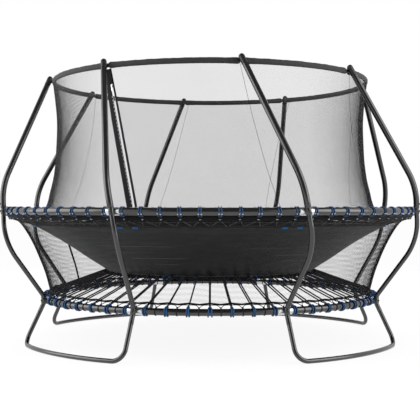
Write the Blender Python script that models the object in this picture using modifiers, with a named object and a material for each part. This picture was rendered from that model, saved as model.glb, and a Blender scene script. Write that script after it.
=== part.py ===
"""A round springless garden trampoline: two steel rings on bent posts and base frames, a funnel-edged
bed on elastic cords, and a leaning-pole enclosure with a zipped net wall. Metres, +Z up, the origin on
the ground at the centre. The front, where the entrance is, faces -Y."""

from math import atan2, cos, degrees, pi, radians, sin, tan

import bmesh
import bpy
from mathutils import Matrix, Vector

# Rings. A tube's radius is that of its eight corners.
BAYS = 8
BAY_DEG = 360 / BAYS
UPPER_RING_RADIUS = 1.830
UPPER_RING_HEIGHT = 1.141
UPPER_RING_TUBE = 0.0305
LOWER_RING_RADIUS = 1.486
LOWER_RING_HEIGHT = 0.379
LOWER_RING_TUBE = 0.0275
RING_STEPS = 5
UPPER_SOCKET_DEG = 1.95  # half the length of a T socket, round the ring
LOWER_SOCKET_DEG = 2.40
SOCKET_WALL = 0.0012
SOCKET_BLOCK = (0.036, 0.034)  # width round the ring, height
JOINT_GAP = 0.0004  # between pieces that touch
WRAP_GAP = 0.0012  # between a cord and the ring that it goes round

# Poles, posts and base frames. Angles run round from the front, counter-clockwise from above.
POLE_ANGLES = [-67.5 + BAY_DEG * i for i in range(BAYS)]
POLE_LEANS = [-13.5, -12.5, -12.5, -14.5, -13.5, -10.2, -11.0, -12.1]  # of each top, round from its foot
POLE_TUBE = 0.0245
POST_TUBE = 0.0195
POST_RADIUS = 1.874
UPRIGHT_LEAN = 0.20  # how far a post goes sideways for each metre up past the upper ring
POLE_FOOT_HEIGHT = UPPER_RING_HEIGHT + 0.028
POLE_BEND_HEIGHT = UPPER_RING_HEIGHT + 0.211
POLE_BEND = 0.580
POLE_TOP_RADIUS = 1.4545
POLE_END_HEIGHT = 2.262
POLE_SLEEVE = 0.060  # how far the pole goes down over the post
POST_BEND_HEIGHT = 0.888
POST_BEND = 0.490
KINK_RADIUS = 1.516
KINK_HEIGHT = 0.392
KINK_BEND = 0.090
POST_BELOW_KINK = 0.115
BASE_TUBE = 0.0190
BASE_RADIUS = 1.695
BASE_HEIGHT = BASE_TUBE * cos(pi / 8)  # the tube stands on one of its flats
BASE_CORNER_BEND = 0.100
BASE_STEPS = 5
SPIGOT = 0.048
SPIGOT_TUBE = 0.0150
BOLT_HEAD = (0.009, 0.006)  # radius, thickness
SCREW_ABOVE_FOOT = 0.032

# Top ring, its padded sleeve and the caps that hold it
TOP_RING_RADIUS = 1.409
TOP_RING_HEIGHT = 2.292
TOP_RING_STEPS = 32
TOP_ROD = 0.010
SLEEVE_SIDE = 0.015
SLEEVE_HALF_HEIGHT = 0.0235
SLEEVE_CLOTH = 0.0025
SLEEVE_NOTCH = (0.034, 0.060, -0.030, 0.0165)  # round the ring, across it, lower and upper edge
CAP_LENGTH = 0.088
CAP_ARM = (0.022, 0.030)  # width round the ring, height
ROD_HOLE = 0.0125

# Bed and funnel: (radius, height) profiles run down their outer side
BED_RADIUS = 0.922
BED_HEIGHT = 0.609
BED_CLOTH = 0.003
EDGE_WEBBING = (0.880, 0.932, 0.0048)  # inner radius, outer radius, thickness
FUNNEL_PROFILE = [(1.600, 1.020), (1.356, 0.890), (1.120, 0.735), (0.927, 0.6098)]
FUNNEL_CLOTH = 0.003
HEM_WEBBING = [(1.640, 1.036), (1.640, 1.032), (1.602, 1.0225), (1.602, 1.0265)]
ROUND_STEPS = 32

# Cords. A wrap is the cord's way round a ring tube, in degrees up from straight out.
LOOPS_PER_UPPER_BAY = 10
LOOPS_PER_LOWER_BAY = 7
LACING_CORD = 0.0028
LACING_WRAP = [170, 80, -10, -100]
LACING_SPREAD_DEG = 1.9  # half a V at the hem
LACING_LEAD = 0.004  # half the cord's lead along the tube in one wrap
ELASTIC_CORD = 0.0040
ELASTIC_WRAP = [150, 60, -30, -120]
ELASTIC_LEAD = 0.010
SKIRT_CORD = 0.0030
SKIRT_HEM_PLACE = (1.441, 0.4275)
SKIRT_HEM_RUN_DEG = 2.2
SKIRT_TIE_OFFSET = (-0.0115, 0.0300)  # from the lower ring's centre line, out and up

# Net wall, skirt and entrance
NET_PROFILE = [(1.412, 2.266), (1.380, 1.720), (1.475, 1.180), (1.572, 1.016)]
NET_LEAN_DEG = (-13.15, 0.65)  # of a seam's top and foot, round from its pole's foot
NET_GAPS = 24
SKIRT_GAPS = 16
NET_STRAND = (0.014, 0.004)  # width, thickness
SKIRT_PROFILE = [(1.770, 1.060), (1.615, 0.890), (1.442, 0.434)]
DOOR_POLE = 1  # the entrance runs beside this pole
DOOR_HEAD = (1.398, -34.6, 2.236)  # radius, angle and height: the zip is straight from here
DOOR_FOOT = (1.475, -23.4, 1.180)  # to here
SLIT_HEAD_HEIGHT = 2.126
SLIT_HALF = 0.0095
ZIP_BAND = (0.038, 0.004)  # width, thickness
BINDING = (0.015, 0.004)
SEWN_GAP = 0.0015
PATCH = (0.042, 0.010, 0.003, 0.0042)  # top width, foot width, thickness, outwards from the zip's line
SLIDER = (0.014, 0.008, 0.022)  # across, through and along
PULL = (0.010, 0.002, 0.046)
PULL_STANDOFF = 0.0065

MERGE = 0.00001
BLACK_STEEL = ((0.030, 0.031, 0.034, 1), 0.28, 0.55)
ZINC = ((0.52, 0.53, 0.55, 1), 0.30, 0.90)
BLACK_CLOTH = ((0.020, 0.021, 0.022, 1), 0.80, 0.0)
BLACK_NET = ((0.015, 0.015, 0.017, 1), 0.70, 0.0)
GREY_CLOTH = ((0.045, 0.046, 0.050, 1), 0.75, 0.0)
BLACK_PLASTIC = ((0.012, 0.012, 0.013, 1), 0.40, 0.0)
BLACK_CORD = ((0.013, 0.013, 0.015, 1), 0.60, 0.0)
BLUE_CORD = ((0.010, 0.095, 0.330, 1), 0.50, 0.0)


def clear_scene():
    for found in list(bpy.data.objects):
        bpy.data.objects.remove(found)


def new_collection(name):
    made = bpy.data.collections.new(name)
    bpy.context.scene.collection.children.link(made)


def material(name, finish):
    colour, roughness, metallic = finish
    made = bpy.data.materials.new(name)
    made.use_nodes = True
    shader = made.node_tree.nodes["Principled BSDF"]
    shader.inputs["Base Color"].default_value = colour
    shader.inputs["Roughness"].default_value = roughness
    shader.inputs["Metallic"].default_value = metallic
    return made


def at(radius, angle, height):
    """The point at this radius and height, this many degrees round from the front."""
    turn = radians(angle)
    return Vector((radius * sin(turn), -radius * cos(turn), height))


def angle_of(point):
    return degrees(atan2(point.x, -point.y))


def turned_by(angle):
    return Matrix.Rotation(radians(angle), 4, "Z")


def part(name, data, finish, where=None):
    """A named object of the trampoline, with its material."""
    made = bpy.data.objects.new(name, data)
    bpy.data.collections["garden_trampoline"].objects.link(made)
    if not data.materials:
        data.materials.append(material(name, finish))
    if where:
        made.matrix_world = where
    return made


def guide(name, data, where=None):
    """A cutter or a guide, which isn't a piece of the trampoline."""
    made = bpy.data.objects.new(name, data)
    bpy.data.collections["cutters"].objects.link(made)
    made.hide_render = True
    made.display_type = "WIRE"
    if where:
        made.matrix_world = where
    return made


def mesh_from(name, bm):
    mesh = bpy.data.meshes.new(name)
    bm.to_mesh(mesh)
    bm.free()
    return mesh


def smooth(mesh):
    mesh.shade_smooth()
    mesh.set_sharp_from_angle(angle=radians(50))


def tube_curve(name, points, radius, resolution=2, closed=False, scales=None, flat_down=False):
    """A round tube along points, with 4 + 2 x resolution sides, one of them downwards if flat_down."""
    curve = bpy.data.curves.new(name, "CURVE")
    curve.dimensions = "3D"
    curve.twist_mode = "Z_UP" if flat_down else "MINIMUM"
    curve.bevel_depth = radius
    curve.bevel_resolution = resolution
    curve.use_fill_caps = not closed
    add_spline(curve, points, closed, scales, radians(180 / (4 + 2 * resolution)) if flat_down else 0)
    return curve


def add_spline(curve, points, closed, scales=None, tilt=0):
    spline = curve.splines.new("POLY")
    spline.points.add(len(points) - 1)
    for i, (slot, point) in enumerate(zip(spline.points, points)):
        slot.co = (*point, 1)
        slot.radius = scales[i] if scales else 1
        slot.tilt = tilt
    spline.use_cyclic_u = closed
    return spline


def cord(name, points, radius, finish):
    """An endless cord along points, with three sides."""
    section = bpy.data.objects.get("cord_section")
    if not section:
        outline = bpy.data.curves.new("cord_section", "CURVE")
        add_spline(outline, [Vector((cos(a), sin(a), 0)) for a in (0, -2 * pi / 3, -4 * pi / 3)], True)
        section = guide("cord_section", outline)
    curve = bpy.data.curves.new(name, "CURVE")
    curve.dimensions = "3D"
    curve.bevel_mode = "OBJECT"
    curve.bevel_object = section
    add_spline(curve, points, True, [radius] * len(points))
    return part(name, curve, finish)


def evaluated_mesh(made):
    """The mesh of an object with its modifiers, and with a curve's caps welded. The object is removed."""
    bpy.context.view_layer.update()
    seen = made.evaluated_get(bpy.context.evaluated_depsgraph_get())
    mesh = bpy.data.meshes.new_from_object(seen)
    bpy.data.objects.remove(made)
    bm = bmesh.new()
    bm.from_mesh(mesh)
    bmesh.ops.remove_doubles(bm, verts=bm.verts, dist=MERGE)
    bm.to_mesh(mesh)
    bm.free()
    return mesh


def baked_tube(name, points, radius, **options):
    return evaluated_mesh(guide(name, tube_curve(name, points, radius, **options)))


def boolean(target, other, operation):
    step = target.modifiers.new(operation.lower(), "BOOLEAN")
    step.operation = operation
    step.object = other
    step.solver = "EXACT"


def add_bar(bm, start, end, radius, sides):
    """A straight round bar from start to end."""
    along = end - start
    where = Matrix.Translation((start + end) / 2) @ along.to_track_quat("Z", "X").to_matrix().to_4x4()
    bmesh.ops.create_cone(bm, cap_ends=True, segments=sides, radius1=radius, radius2=radius,
                          depth=along.length, matrix=where)


def bar_mesh(name, start, end, radius, sides):
    bm = bmesh.new()
    add_bar(bm, start, end, radius, sides)
    return mesh_from(name, bm)


def box_mesh(name, size, where=Matrix.Identity(4)):
    bm = bmesh.new()
    bmesh.ops.create_cube(bm, size=1, matrix=where @ Matrix.Diagonal((*size, 1)))
    return mesh_from(name, bm)


def turned(name, profile, steps, closed=False):
    """An object turned round its Z axis from a (radius, height) profile."""
    bm = bmesh.new()
    line = [bm.verts.new((radius, 0, height)) for radius, height in profile]
    for pair in zip(line, line[1:] + line[:1] if closed else line[1:]):
        bm.edges.new(pair)
    made = guide(name, mesh_from(name, bm))
    screw = made.modifiers.new("round", "SCREW")
    screw.steps = steps
    screw.render_steps = steps
    screw.use_merge_vertices = True
    screw.merge_threshold = MERGE
    return made


def solidified(made, thickness, offset=0):
    wall = made.modifiers.new("wall", "SOLIDIFY")
    wall.thickness = thickness
    wall.offset = offset


def shown(made, finish):
    """Makes a guide object a piece of the trampoline."""
    bpy.data.collections["cutters"].objects.unlink(made)
    bpy.data.collections["garden_trampoline"].objects.link(made)
    made.hide_render = False
    made.display_type = "TEXTURED"
    made.data.materials.append(material(made.name, finish))
    return made


def rounded_path(corners, bends, steps):
    """The corners' path, with each inner corner rounded to its bend radius. A bend of 0 stays sharp."""
    path = [corners[0]]
    for before, corner, after, bend in zip(corners, corners[1:], corners[2:], bends):
        if not bend:
            path.append(corner)
            continue
        back = (before - corner).normalized()
        onward = (after - corner).normalized()
        half = back.angle(onward) / 2
        centre = corner + (back + onward).normalized() * bend / sin(half)
        first = corner + back * bend / tan(half) - centre
        last = corner + onward * bend / tan(half) - centre
        sweep = first.angle(last)
        for i in range(steps + 1):
            share = i / steps
            path.append(centre + (first * sin((1 - share) * sweep) + last * sin(share * sweep)) / sin(sweep))
    path.append(corners[-1])
    return path


def upright(height):
    """The point at this height on the axis of the front-facing post, where it passes the upper ring."""
    return Vector((-UPRIGHT_LEAN * (height - UPPER_RING_HEIGHT), -POST_RADIUS, height))


def post_corners():
    """Corners of the front-facing post: its top inside the pole, its two bends and its lower end."""
    kink = at(KINK_RADIUS, 0, KINK_HEIGHT)
    ground = at(BASE_RADIUS, 0, BASE_HEIGHT)
    lower = kink + (ground - kink).normalized() * POST_BELOW_KINK
    return [upright(POLE_FOOT_HEIGHT + POLE_SLEEVE - 0.002), upright(POST_BEND_HEIGHT), kink, lower]


def post_path():
    corners = post_corners()
    upper = rounded_path(corners[:3], [POST_BEND], 4)
    lower = rounded_path(corners[1:], [KINK_BEND], 3)
    return upper[:-1] + lower[1:]


def post_radius_at(height):
    path = post_path()
    for high, low in zip(path, path[1:]):
        if low.z <= height <= high.z:
            return -high.lerp(low, (high.z - height) / (high.z - low.z)).y
    raise ValueError("no post at this height")


def bolt_heads(name, seats):
    """Bolt heads that face outwards, on (axis point, tube radius) seats of the front-facing post."""
    radius, thickness = BOLT_HEAD
    out = Vector((0, -1, 0))
    bm = bmesh.new()
    for seat, tube in seats:
        add_bar(bm, seat + out * (tube - 0.003), seat + out * (tube + thickness), radius, 6)
    return mesh_from(name, bm)


def make_posts():
    """Bent posts: from the pole feet past the upper ring, in to the lower ring, and out below it."""
    corners = post_corners()
    down = (corners[3] - corners[2]).normalized()
    post = guide("post", baked_tube("post", post_path(), POST_TUBE))
    hole = (SPIGOT_TUBE + JOINT_GAP) / cos(pi / 8)
    boolean(post, guide("post_bore", bar_mesh("post_bore", corners[3] - down * (SPIGOT + 0.004),
                                              corners[3] + down * 0.02, hole, 8)), "DIFFERENCE")
    seats = [(upright(UPPER_RING_HEIGHT), POST_TUBE),
             (at(post_radius_at(LOWER_RING_HEIGHT), 0, LOWER_RING_HEIGHT), POST_TUBE)]
    boolean(post, guide("post_bolts", bolt_heads("post_bolts", seats)), "UNION")
    mesh = evaluated_mesh(post)
    smooth(mesh)
    for i, angle in enumerate(POLE_ANGLES):
        part(f"leg_post_{i + 1}", mesh, BLACK_STEEL, turned_by(angle))


def pole_line(index):
    """The straight run of a pole: its bend's corner, its end and the direction it points in."""
    angle = POLE_ANGLES[index]
    bend = turned_by(angle) @ upright(POLE_BEND_HEIGHT)
    top = at(POLE_TOP_RADIUS, angle + POLE_LEANS[index], TOP_RING_HEIGHT)
    end = bend.lerp(top, (POLE_END_HEIGHT - bend.z) / (top.z - bend.z))
    return bend, end, (top - bend).normalized()


def make_poles():
    """Enclosure poles: over the posts, then straight up and in, all leaning one way round."""
    screw = bolt_heads("pole_screw", [(upright(POLE_FOOT_HEIGHT + SCREW_ABOVE_FOOT), POLE_TUBE)])
    hole = (POST_TUBE + JOINT_GAP) / cos(pi / 8)
    for i, angle in enumerate(POLE_ANGLES):
        foot = turned_by(angle) @ upright(POLE_FOOT_HEIGHT)
        bend, end, _ = pole_line(i)
        up = (bend - foot).normalized()
        mesh = baked_tube("pole", rounded_path([foot, bend, end], [POLE_BEND], 4), POLE_TUBE)
        smooth(mesh)
        pole = part(f"enclosure_pole_{i + 1}", mesh, BLACK_STEEL)
        bore = bar_mesh("pole_bore", foot - up * 0.02, foot + up * POLE_SLEEVE, hole, 8)
        boolean(pole, guide(f"pole_bore_{i + 1}", bore), "DIFFERENCE")
        boolean(pole, guide(f"pole_screw_{i + 1}", screw, turned_by(angle)), "UNION")


def make_base_frames():
    """U-shaped frames: a leg down from one post, an arc along the ground and a leg up to the next."""
    leg_top = post_corners()[3]
    up = (post_corners()[2] - leg_top).normalized()
    shoulder = leg_top - up * JOINT_GAP
    arc = [at(BASE_RADIUS, BAY_DEG * i / BASE_STEPS, BASE_HEIGHT) for i in range(BASE_STEPS + 1)]
    other = Matrix.Rotation(radians(BAY_DEG), 3, "Z")
    bends = [BASE_CORNER_BEND] + [0] * (BASE_STEPS - 1) + [BASE_CORNER_BEND]
    path = rounded_path([shoulder, *arc, other @ shoulder], bends, 3)
    spigot = [leg_top + up * SPIGOT, shoulder + up * JOINT_GAP / 2]
    path = spigot + path + [other @ point for point in reversed(spigot)]
    narrow = SPIGOT_TUBE / BASE_TUBE
    scales = [narrow] * 2 + [1] * (len(path) - 4) + [narrow] * 2
    mesh = baked_tube("base_frame", path, BASE_TUBE, scales=scales, flat_down=True)
    smooth(mesh)
    for i in range(BAYS // 2):
        part(f"base_frame_{i + 1}", mesh, BLACK_STEEL, turned_by(POLE_ANGLES[2 * i]))


def ring_span(radius, socket_deg):
    """Where a ring tube leaves its own socket and ends at the next, in degrees past its post."""
    return socket_deg + 0.01, BAY_DEG - socket_deg - degrees(JOINT_GAP / radius)


def ring_radius(radius, socket_deg, angle):
    """The radius of the many-sided ring's centre line at an angle between two sockets."""
    first, last = ring_span(radius, socket_deg)
    half = (last - first) / RING_STEPS / 2
    off = ((angle - POLE_ANGLES[0]) % BAY_DEG - first) % (2 * half) - half
    return radius * cos(radians(half)) / cos(radians(off))


def make_ring(prefix, radius, height, tube, socket_deg):
    """A steel ring in eight tubes, each with a T socket welded on that cradles its post."""
    wide = (tube + SOCKET_WALL) / tube
    first, last = ring_span(radius, socket_deg)
    angles = [-socket_deg, socket_deg] + [first + (last - first) * i / RING_STEPS for i in range(RING_STEPS)]
    path = [at(radius, angle, height) for angle in angles]
    next_socket = Vector((cos(radians(BAY_DEG)), sin(radians(BAY_DEG)), 0))
    end = at(radius, BAY_DEG - socket_deg, height) - next_socket * JOINT_GAP
    path += [end - next_socket * 0.004, end]
    ring = guide(prefix, baked_tube(prefix, path, tube, scales=[wide] * 2 + [1] * (len(path) - 2)))
    block_end = post_radius_at(height) - 0.004
    width, tall = SOCKET_BLOCK
    middle = Matrix.Translation(at((radius + block_end) / 2, 0, height))
    boolean(ring, guide(prefix + "_block", box_mesh("block", (width, block_end - radius, tall), middle)), "UNION")
    clearance = baked_tube("clearance", post_path(), POST_TUBE + JOINT_GAP)
    boolean(ring, guide(prefix + "_post", clearance), "DIFFERENCE")
    mesh = evaluated_mesh(ring)
    smooth(mesh)
    for i, angle in enumerate(POLE_ANGLES):
        part(f"{prefix}_ring_tube_{i + 1}", mesh, BLACK_STEEL, turned_by(angle))


def top_ring_radius(angle):
    """The radius of the many-sided top ring's centre line at an angle."""
    half = 180 / TOP_RING_STEPS
    off = (angle - 90) % (2 * half) - half
    return TOP_RING_RADIUS * cos(radians(half)) / cos(radians(off))


def make_top_ring():
    """The rod that runs round the top, and its padded sleeve with a notch at each pole."""
    points = [at(TOP_RING_RADIUS, 90 + 360 * i / TOP_RING_STEPS, TOP_RING_HEIGHT) for i in range(TOP_RING_STEPS)]
    part("top_ring_rod", tube_curve("top_ring_rod", points, TOP_ROD, resolution=1, closed=True), BLACK_PLASTIC)

    side, half = SLEEVE_SIDE, SLEEVE_HALF_HEIGHT
    section = [(side, half * 0.5), (side, -half * 0.9), (-side, -half), (-side, half)]
    profile = [(TOP_RING_RADIUS + out, TOP_RING_HEIGHT + up) for out, up in section]
    sleeve = turned("top_ring_sleeve", profile, TOP_RING_STEPS, closed=True)
    solidified(sleeve, SLEEVE_CLOTH, -1)
    along, across, low, high = SLEEVE_NOTCH
    bm = bmesh.new()
    for angle, lean in zip(POLE_ANGLES, POLE_LEANS):
        middle = at(TOP_RING_RADIUS, angle + lean, TOP_RING_HEIGHT + (low + high) / 2)
        where = Matrix.Translation(middle) @ turned_by(angle + lean)
        bmesh.ops.create_cube(bm, size=1, matrix=where @ Matrix.Diagonal((along, across, high - low, 1)))
    boolean(sleeve, guide("sleeve_notches", mesh_from("sleeve_notches", bm)), "DIFFERENCE")
    shown(sleeve, GREY_CLOTH)


def make_pole_caps():
    """Domed caps on the pole ends, each moulded with the arm that holds the top ring's rod."""
    profile = [(0, CAP_LENGTH), (POLE_TUBE * 0.62, CAP_LENGTH * 0.96), (POLE_TUBE, CAP_LENGTH * 0.80),
               (POLE_TUBE, JOINT_GAP), (0, JOINT_GAP)]
    width, tall = CAP_ARM
    for i, (angle, lean) in enumerate(zip(POLE_ANGLES, POLE_LEANS)):
        _, end, along = pole_line(i)
        cap = turned(f"pole_cap_{i + 1}", profile, 8)
        cap.matrix_world = Matrix.Translation(end) @ along.to_track_quat("Z", "X").to_matrix().to_4x4()
        round_by = angle + lean
        rod = top_ring_radius(round_by)
        inner, outer = rod - tall / 2, POLE_TOP_RADIUS - 0.004
        middle = Matrix.Translation(at((inner + outer) / 2, round_by, TOP_RING_HEIGHT)) @ turned_by(round_by)
        boolean(cap, guide(f"cap_arm_{i + 1}", box_mesh("arm", (width, outer - inner, tall), middle)), "UNION")
        off = Vector((cos(radians(round_by)), sin(radians(round_by)), 0)) * 0.03
        centre = at(rod, round_by, TOP_RING_HEIGHT)
        hole = bar_mesh("rod_hole", centre - off, centre + off, ROD_HOLE, 8)
        boolean(cap, guide(f"rod_hole_{i + 1}", hole), "DIFFERENCE")
        shown(cap, BLACK_PLASTIC)


def make_bed():
    """The flat jumping bed, and the webbing sewn under its edge."""
    mesh = bar_mesh("jumping_bed", Vector((0, 0, BED_HEIGHT - BED_CLOTH)), Vector((0, 0, BED_HEIGHT)),
                    BED_RADIUS, ROUND_STEPS)
    part("jumping_bed", mesh, BLACK_CLOTH)
    inner, outer, thick = EDGE_WEBBING
    high = BED_HEIGHT - BED_CLOTH - JOINT_GAP
    profile = [(outer, high), (outer, high - thick), (inner, high - thick), (inner, high)]
    shown(turned("bed_edge_webbing", profile, ROUND_STEPS, closed=True), BLACK_CORD)


def make_funnel():
    """The cloth wall that runs from the bed's edge up and out to its hem, and the hem's webbing."""
    funnel = turned("funnel_wall", FUNNEL_PROFILE, ROUND_STEPS)
    solidified(funnel, FUNNEL_CLOTH)
    shown(funnel, BLACK_CLOTH)
    shown(turned("funnel_hem_webbing", HEM_WEBBING, ROUND_STEPS, closed=True), BLACK_CORD)


def loop_angles(per_bay):
    """Where the cord wraps a ring: evenly, half a step clear of each post."""
    step = BAY_DEG / per_bay
    return [POLE_ANGLES[0] + step * (i + 0.5) for i in range(per_bay * BAYS)]


def wrap(ring, height, tube, cord_radius, turns, lead, angle):
    """The cord's points once round a ring tube, moving along it by its lead."""
    reach = (tube + WRAP_GAP + cord_radius) / cos(radians(abs(turns[1] - turns[0]) / 2))
    points = []
    for i, turn in enumerate(turns):
        there = angle + degrees(lead * (2 * i / (len(turns) - 1) - 1) / ring[0])
        out = ring_radius(*ring, there) + reach * cos(radians(turn))
        points.append(at(out, there, height + reach * sin(radians(turn))))
    return points


def make_upper_lacing():
    """One blue cord laced between the funnel's hem and the upper ring, with a V at each wrap."""
    hem_radius = HEM_WEBBING[0][0] + JOINT_GAP + LACING_CORD
    hem_height = (HEM_WEBBING[0][1] + HEM_WEBBING[1][1]) / 2
    points = []
    for angle in loop_angles(LOOPS_PER_UPPER_BAY):
        points.append(at(hem_radius, angle - LACING_SPREAD_DEG, hem_height))
        points += wrap((UPPER_RING_RADIUS, UPPER_SOCKET_DEG), UPPER_RING_HEIGHT, UPPER_RING_TUBE, LACING_CORD,
                       LACING_WRAP, LACING_LEAD, angle)
        points.append(at(hem_radius, angle + LACING_SPREAD_DEG, hem_height))
    cord("upper_ring_lacing", points, LACING_CORD, BLUE_CORD)


def make_elastic_cords():
    """One elastic cord laced between the bed's edge and the lower ring, in pairs of runs."""
    edge = EDGE_WEBBING[1] + 0.0016 + ELASTIC_CORD
    high = BED_HEIGHT - BED_CLOTH - EDGE_WEBBING[2] / 2
    side = degrees(ELASTIC_LEAD / edge)
    points = []
    for angle in loop_angles(LOOPS_PER_LOWER_BAY):
        points.append(at(edge, angle - side, high))
        points += wrap((LOWER_RING_RADIUS, LOWER_SOCKET_DEG), LOWER_RING_HEIGHT, LOWER_RING_TUBE, ELASTIC_CORD,
                       ELASTIC_WRAP, ELASTIC_LEAD, angle)
        points.append(at(edge, angle + side, high))
    cord("elastic_cords", points, ELASTIC_CORD, BLACK_CORD)


def make_skirt_lacing():
    """The wavy cord along the skirt's lower hem, which dips to the lower ring between the loops."""
    radius, height = SKIRT_HEM_PLACE
    out, up = SKIRT_TIE_OFFSET
    step = BAY_DEG / LOOPS_PER_LOWER_BAY
    points = []
    for angle in loop_angles(LOOPS_PER_LOWER_BAY):
        points += [at(radius, angle - SKIRT_HEM_RUN_DEG, height), at(radius, angle + SKIRT_HEM_RUN_DEG, height),
                   at(LOWER_RING_RADIUS + out, angle + step / 2, LOWER_RING_HEIGHT + up)]
    cord("skirt_lacing", points, SKIRT_CORD, BLACK_CORD)


def profile_radius(profile, height):
    """The radius of a (radius, height) profile, top first, at this height."""
    for (high_radius, high), (low_radius, low) in zip(profile, profile[1:]):
        if height >= low:
            break
    return low_radius + (high_radius - low_radius) * (height - low) / (high - low)


def seam_angle(turns, height):
    """Net seams lean round with the poles. The first one is the entrance's, one turn is one bay."""
    top, foot = NET_PROFILE[0][1], NET_PROFILE[-1][1]
    lean = NET_LEAN_DEG[1] + (NET_LEAN_DEG[0] - NET_LEAN_DEG[1]) * (height - foot) / (top - foot)
    return POLE_ANGLES[DOOR_POLE] + BAY_DEG * turns + lean


def door_line(height):
    """The zip's centre line: straight down to its foot, then with the net in to the hem."""
    head, foot = at(*DOOR_HEAD), at(*DOOR_FOOT)
    if height >= foot.z:
        return foot + (head - foot) * (height - foot.z) / (head.z - foot.z)
    radius, low = NET_PROFILE[-1]
    hem = at(radius, seam_angle(0, low), low)
    return hem + (foot - hem) * (height - low) / (foot.z - low)


def net_point(share, offset, height):
    """A point of the net wall, which runs once round from the entrance's right edge to its left one."""
    turns = share * BAYS
    door = door_line(height)
    near = max(0, 1 - min(turns, BAYS - turns))
    angle = seam_angle(turns, height) + (angle_of(door) - seam_angle(0, height)) * near
    radius = profile_radius(NET_PROFILE, height)
    radius += (door.xy.length - radius) * near
    if share in (0, 1):
        strip = BINDING[0] if share == 0 else ZIP_BAND[0]
        offset += (0.5 - share) * (2 * (SLIT_HALF + strip + SEWN_GAP) + NET_STRAND[0])
    return at(radius, angle + degrees(offset / radius), height)


def skirt_point(share, offset, height):
    radius = profile_radius(SKIRT_PROFILE, height)
    return at(radius, POLE_ANGLES[0] + 360 * share + degrees(offset / radius), height)


def make_netting(name, profile, across, point, closed):
    """Netting with open gaps. A strand runs along each row of the profile and between the gaps."""
    rows = len(profile) - 1
    wide, tall = 2 * across + (not closed), 2 * rows + 1
    width, thickness = NET_STRAND
    bm = bmesh.new()
    bmesh.ops.create_grid(bm, x_segments=wide, y_segments=tall, size=0.5)
    spots = {v: (round((v.co.x + 0.5) * wide), round((0.5 - v.co.y) * tall)) for v in bm.verts}
    gaps = [f for f in bm.faces if all(min(spots[v][i] for v in f.verts) % 2 for i in (0, 1))]
    bmesh.ops.delete(bm, geom=gaps, context="FACES")
    for vertex, (column, row) in spots.items():
        strand, right = divmod(column, 2)
        line, low = divmod(row, 2)
        height = profile[line][1] + width * (0.5 - low)
        if line in (0, rows):
            height += width * (0.5 if line else -0.5)
        vertex.co = point(strand / across, width * (right - 0.5), height)
    bmesh.ops.remove_doubles(bm, verts=bm.verts, dist=MERGE)
    bmesh.ops.recalc_face_normals(bm, faces=bm.faces)
    net = part(name, mesh_from(name, bm), BLACK_NET)
    solidified(net, thickness)


def door_across(height):
    """The way along the net, level and to the right as seen from outside, at the zip's line."""
    turn = radians(angle_of(door_line(height)))
    return Vector((cos(turn), sin(turn), 0))


def make_door():
    """The padded zip band on the slit's left edge, the binding on its right, and the patch at its head."""
    heights = [NET_PROFILE[-1][1], DOOR_FOOT[2], NET_PROFILE[0][1]]
    for name, (width, thickness), side in (("door_zip_band", ZIP_BAND, -1), ("door_binding", BINDING, 1)):
        bm = bmesh.new()
        bmesh.ops.create_grid(bm, x_segments=1, y_segments=len(heights) - 1, size=0.5)
        for vertex in bm.verts:
            height = heights[round((vertex.co.y + 0.5) * (len(heights) - 1))]
            edge = SLIT_HALF + width * (vertex.co.x + 0.5)
            vertex.co = door_line(height) + door_across(height) * edge * side
        bmesh.ops.recalc_face_normals(bm, faces=bm.faces)
        solidified(part(name, mesh_from(name, bm), BLACK_CLOTH), thickness)
    top_width, foot_width, thickness, standoff = PATCH
    head, across, inward, up = zip_axes()
    start = head + up * (SLIDER[2] / 2 + 0.004)
    length = (door_line(NET_PROFILE[0][1] - 0.004) - start).length
    bm = bmesh.new()
    bmesh.ops.create_cube(bm, size=1, matrix=Matrix.Diagonal((top_width, thickness, length, 1)))
    for vertex in bm.verts:
        if vertex.co.z < 0:
            vertex.co.x *= foot_width / top_width
    axes = Matrix((across, inward, up)).transposed().to_4x4()
    where = Matrix.Translation(start + up * length / 2 - inward * standoff) @ axes
    part("door_head_patch", mesh_from("door_head_patch", bm), BLACK_CLOTH, where)


def zip_axes():
    """The zip's upper end, and the directions across it, in through the net and up along it there."""
    head = door_line(SLIT_HEAD_HEIGHT)
    up = (at(*DOOR_HEAD) - at(*DOOR_FOOT)).normalized()
    inward = up.cross(door_across(SLIT_HEAD_HEIGHT)).normalized()
    return head, inward.cross(up), inward, up


def empty(name, where, parent=None):
    made = bpy.data.objects.new(name, None)
    bpy.data.collections["garden_trampoline"].objects.link(made)
    made.parent = parent
    made.matrix_local = where
    return made


def bevelled(made, width):
    edge = made.modifiers.new("edge", "BEVEL")
    edge.width = width
    edge.segments = 1


def make_slider():
    """The zip's slider in the slit, and the pull tab that hangs on it."""
    head, across, inward, up = zip_axes()
    axes = Matrix((across, inward, up)).transposed().to_4x4()
    track = empty("zip_slider_track", Matrix.Translation(head) @ axes)
    slider = part("zip_slider", box_mesh("zip_slider", SLIDER), ZINC)
    slider.parent = track
    bevelled(slider, 0.002)
    pivot = empty("zip_pull_pivot", Matrix.Translation((0, -PULL_STANDOFF, 0)), track)
    hang = Matrix.Translation((0, 0, 0.0015 - PULL[2] / 2))
    pull = part("zip_pull", box_mesh("zip_pull", PULL, hang), ZINC)
    pull.parent = pivot
    bevelled(pull, 0.0006)


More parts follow.
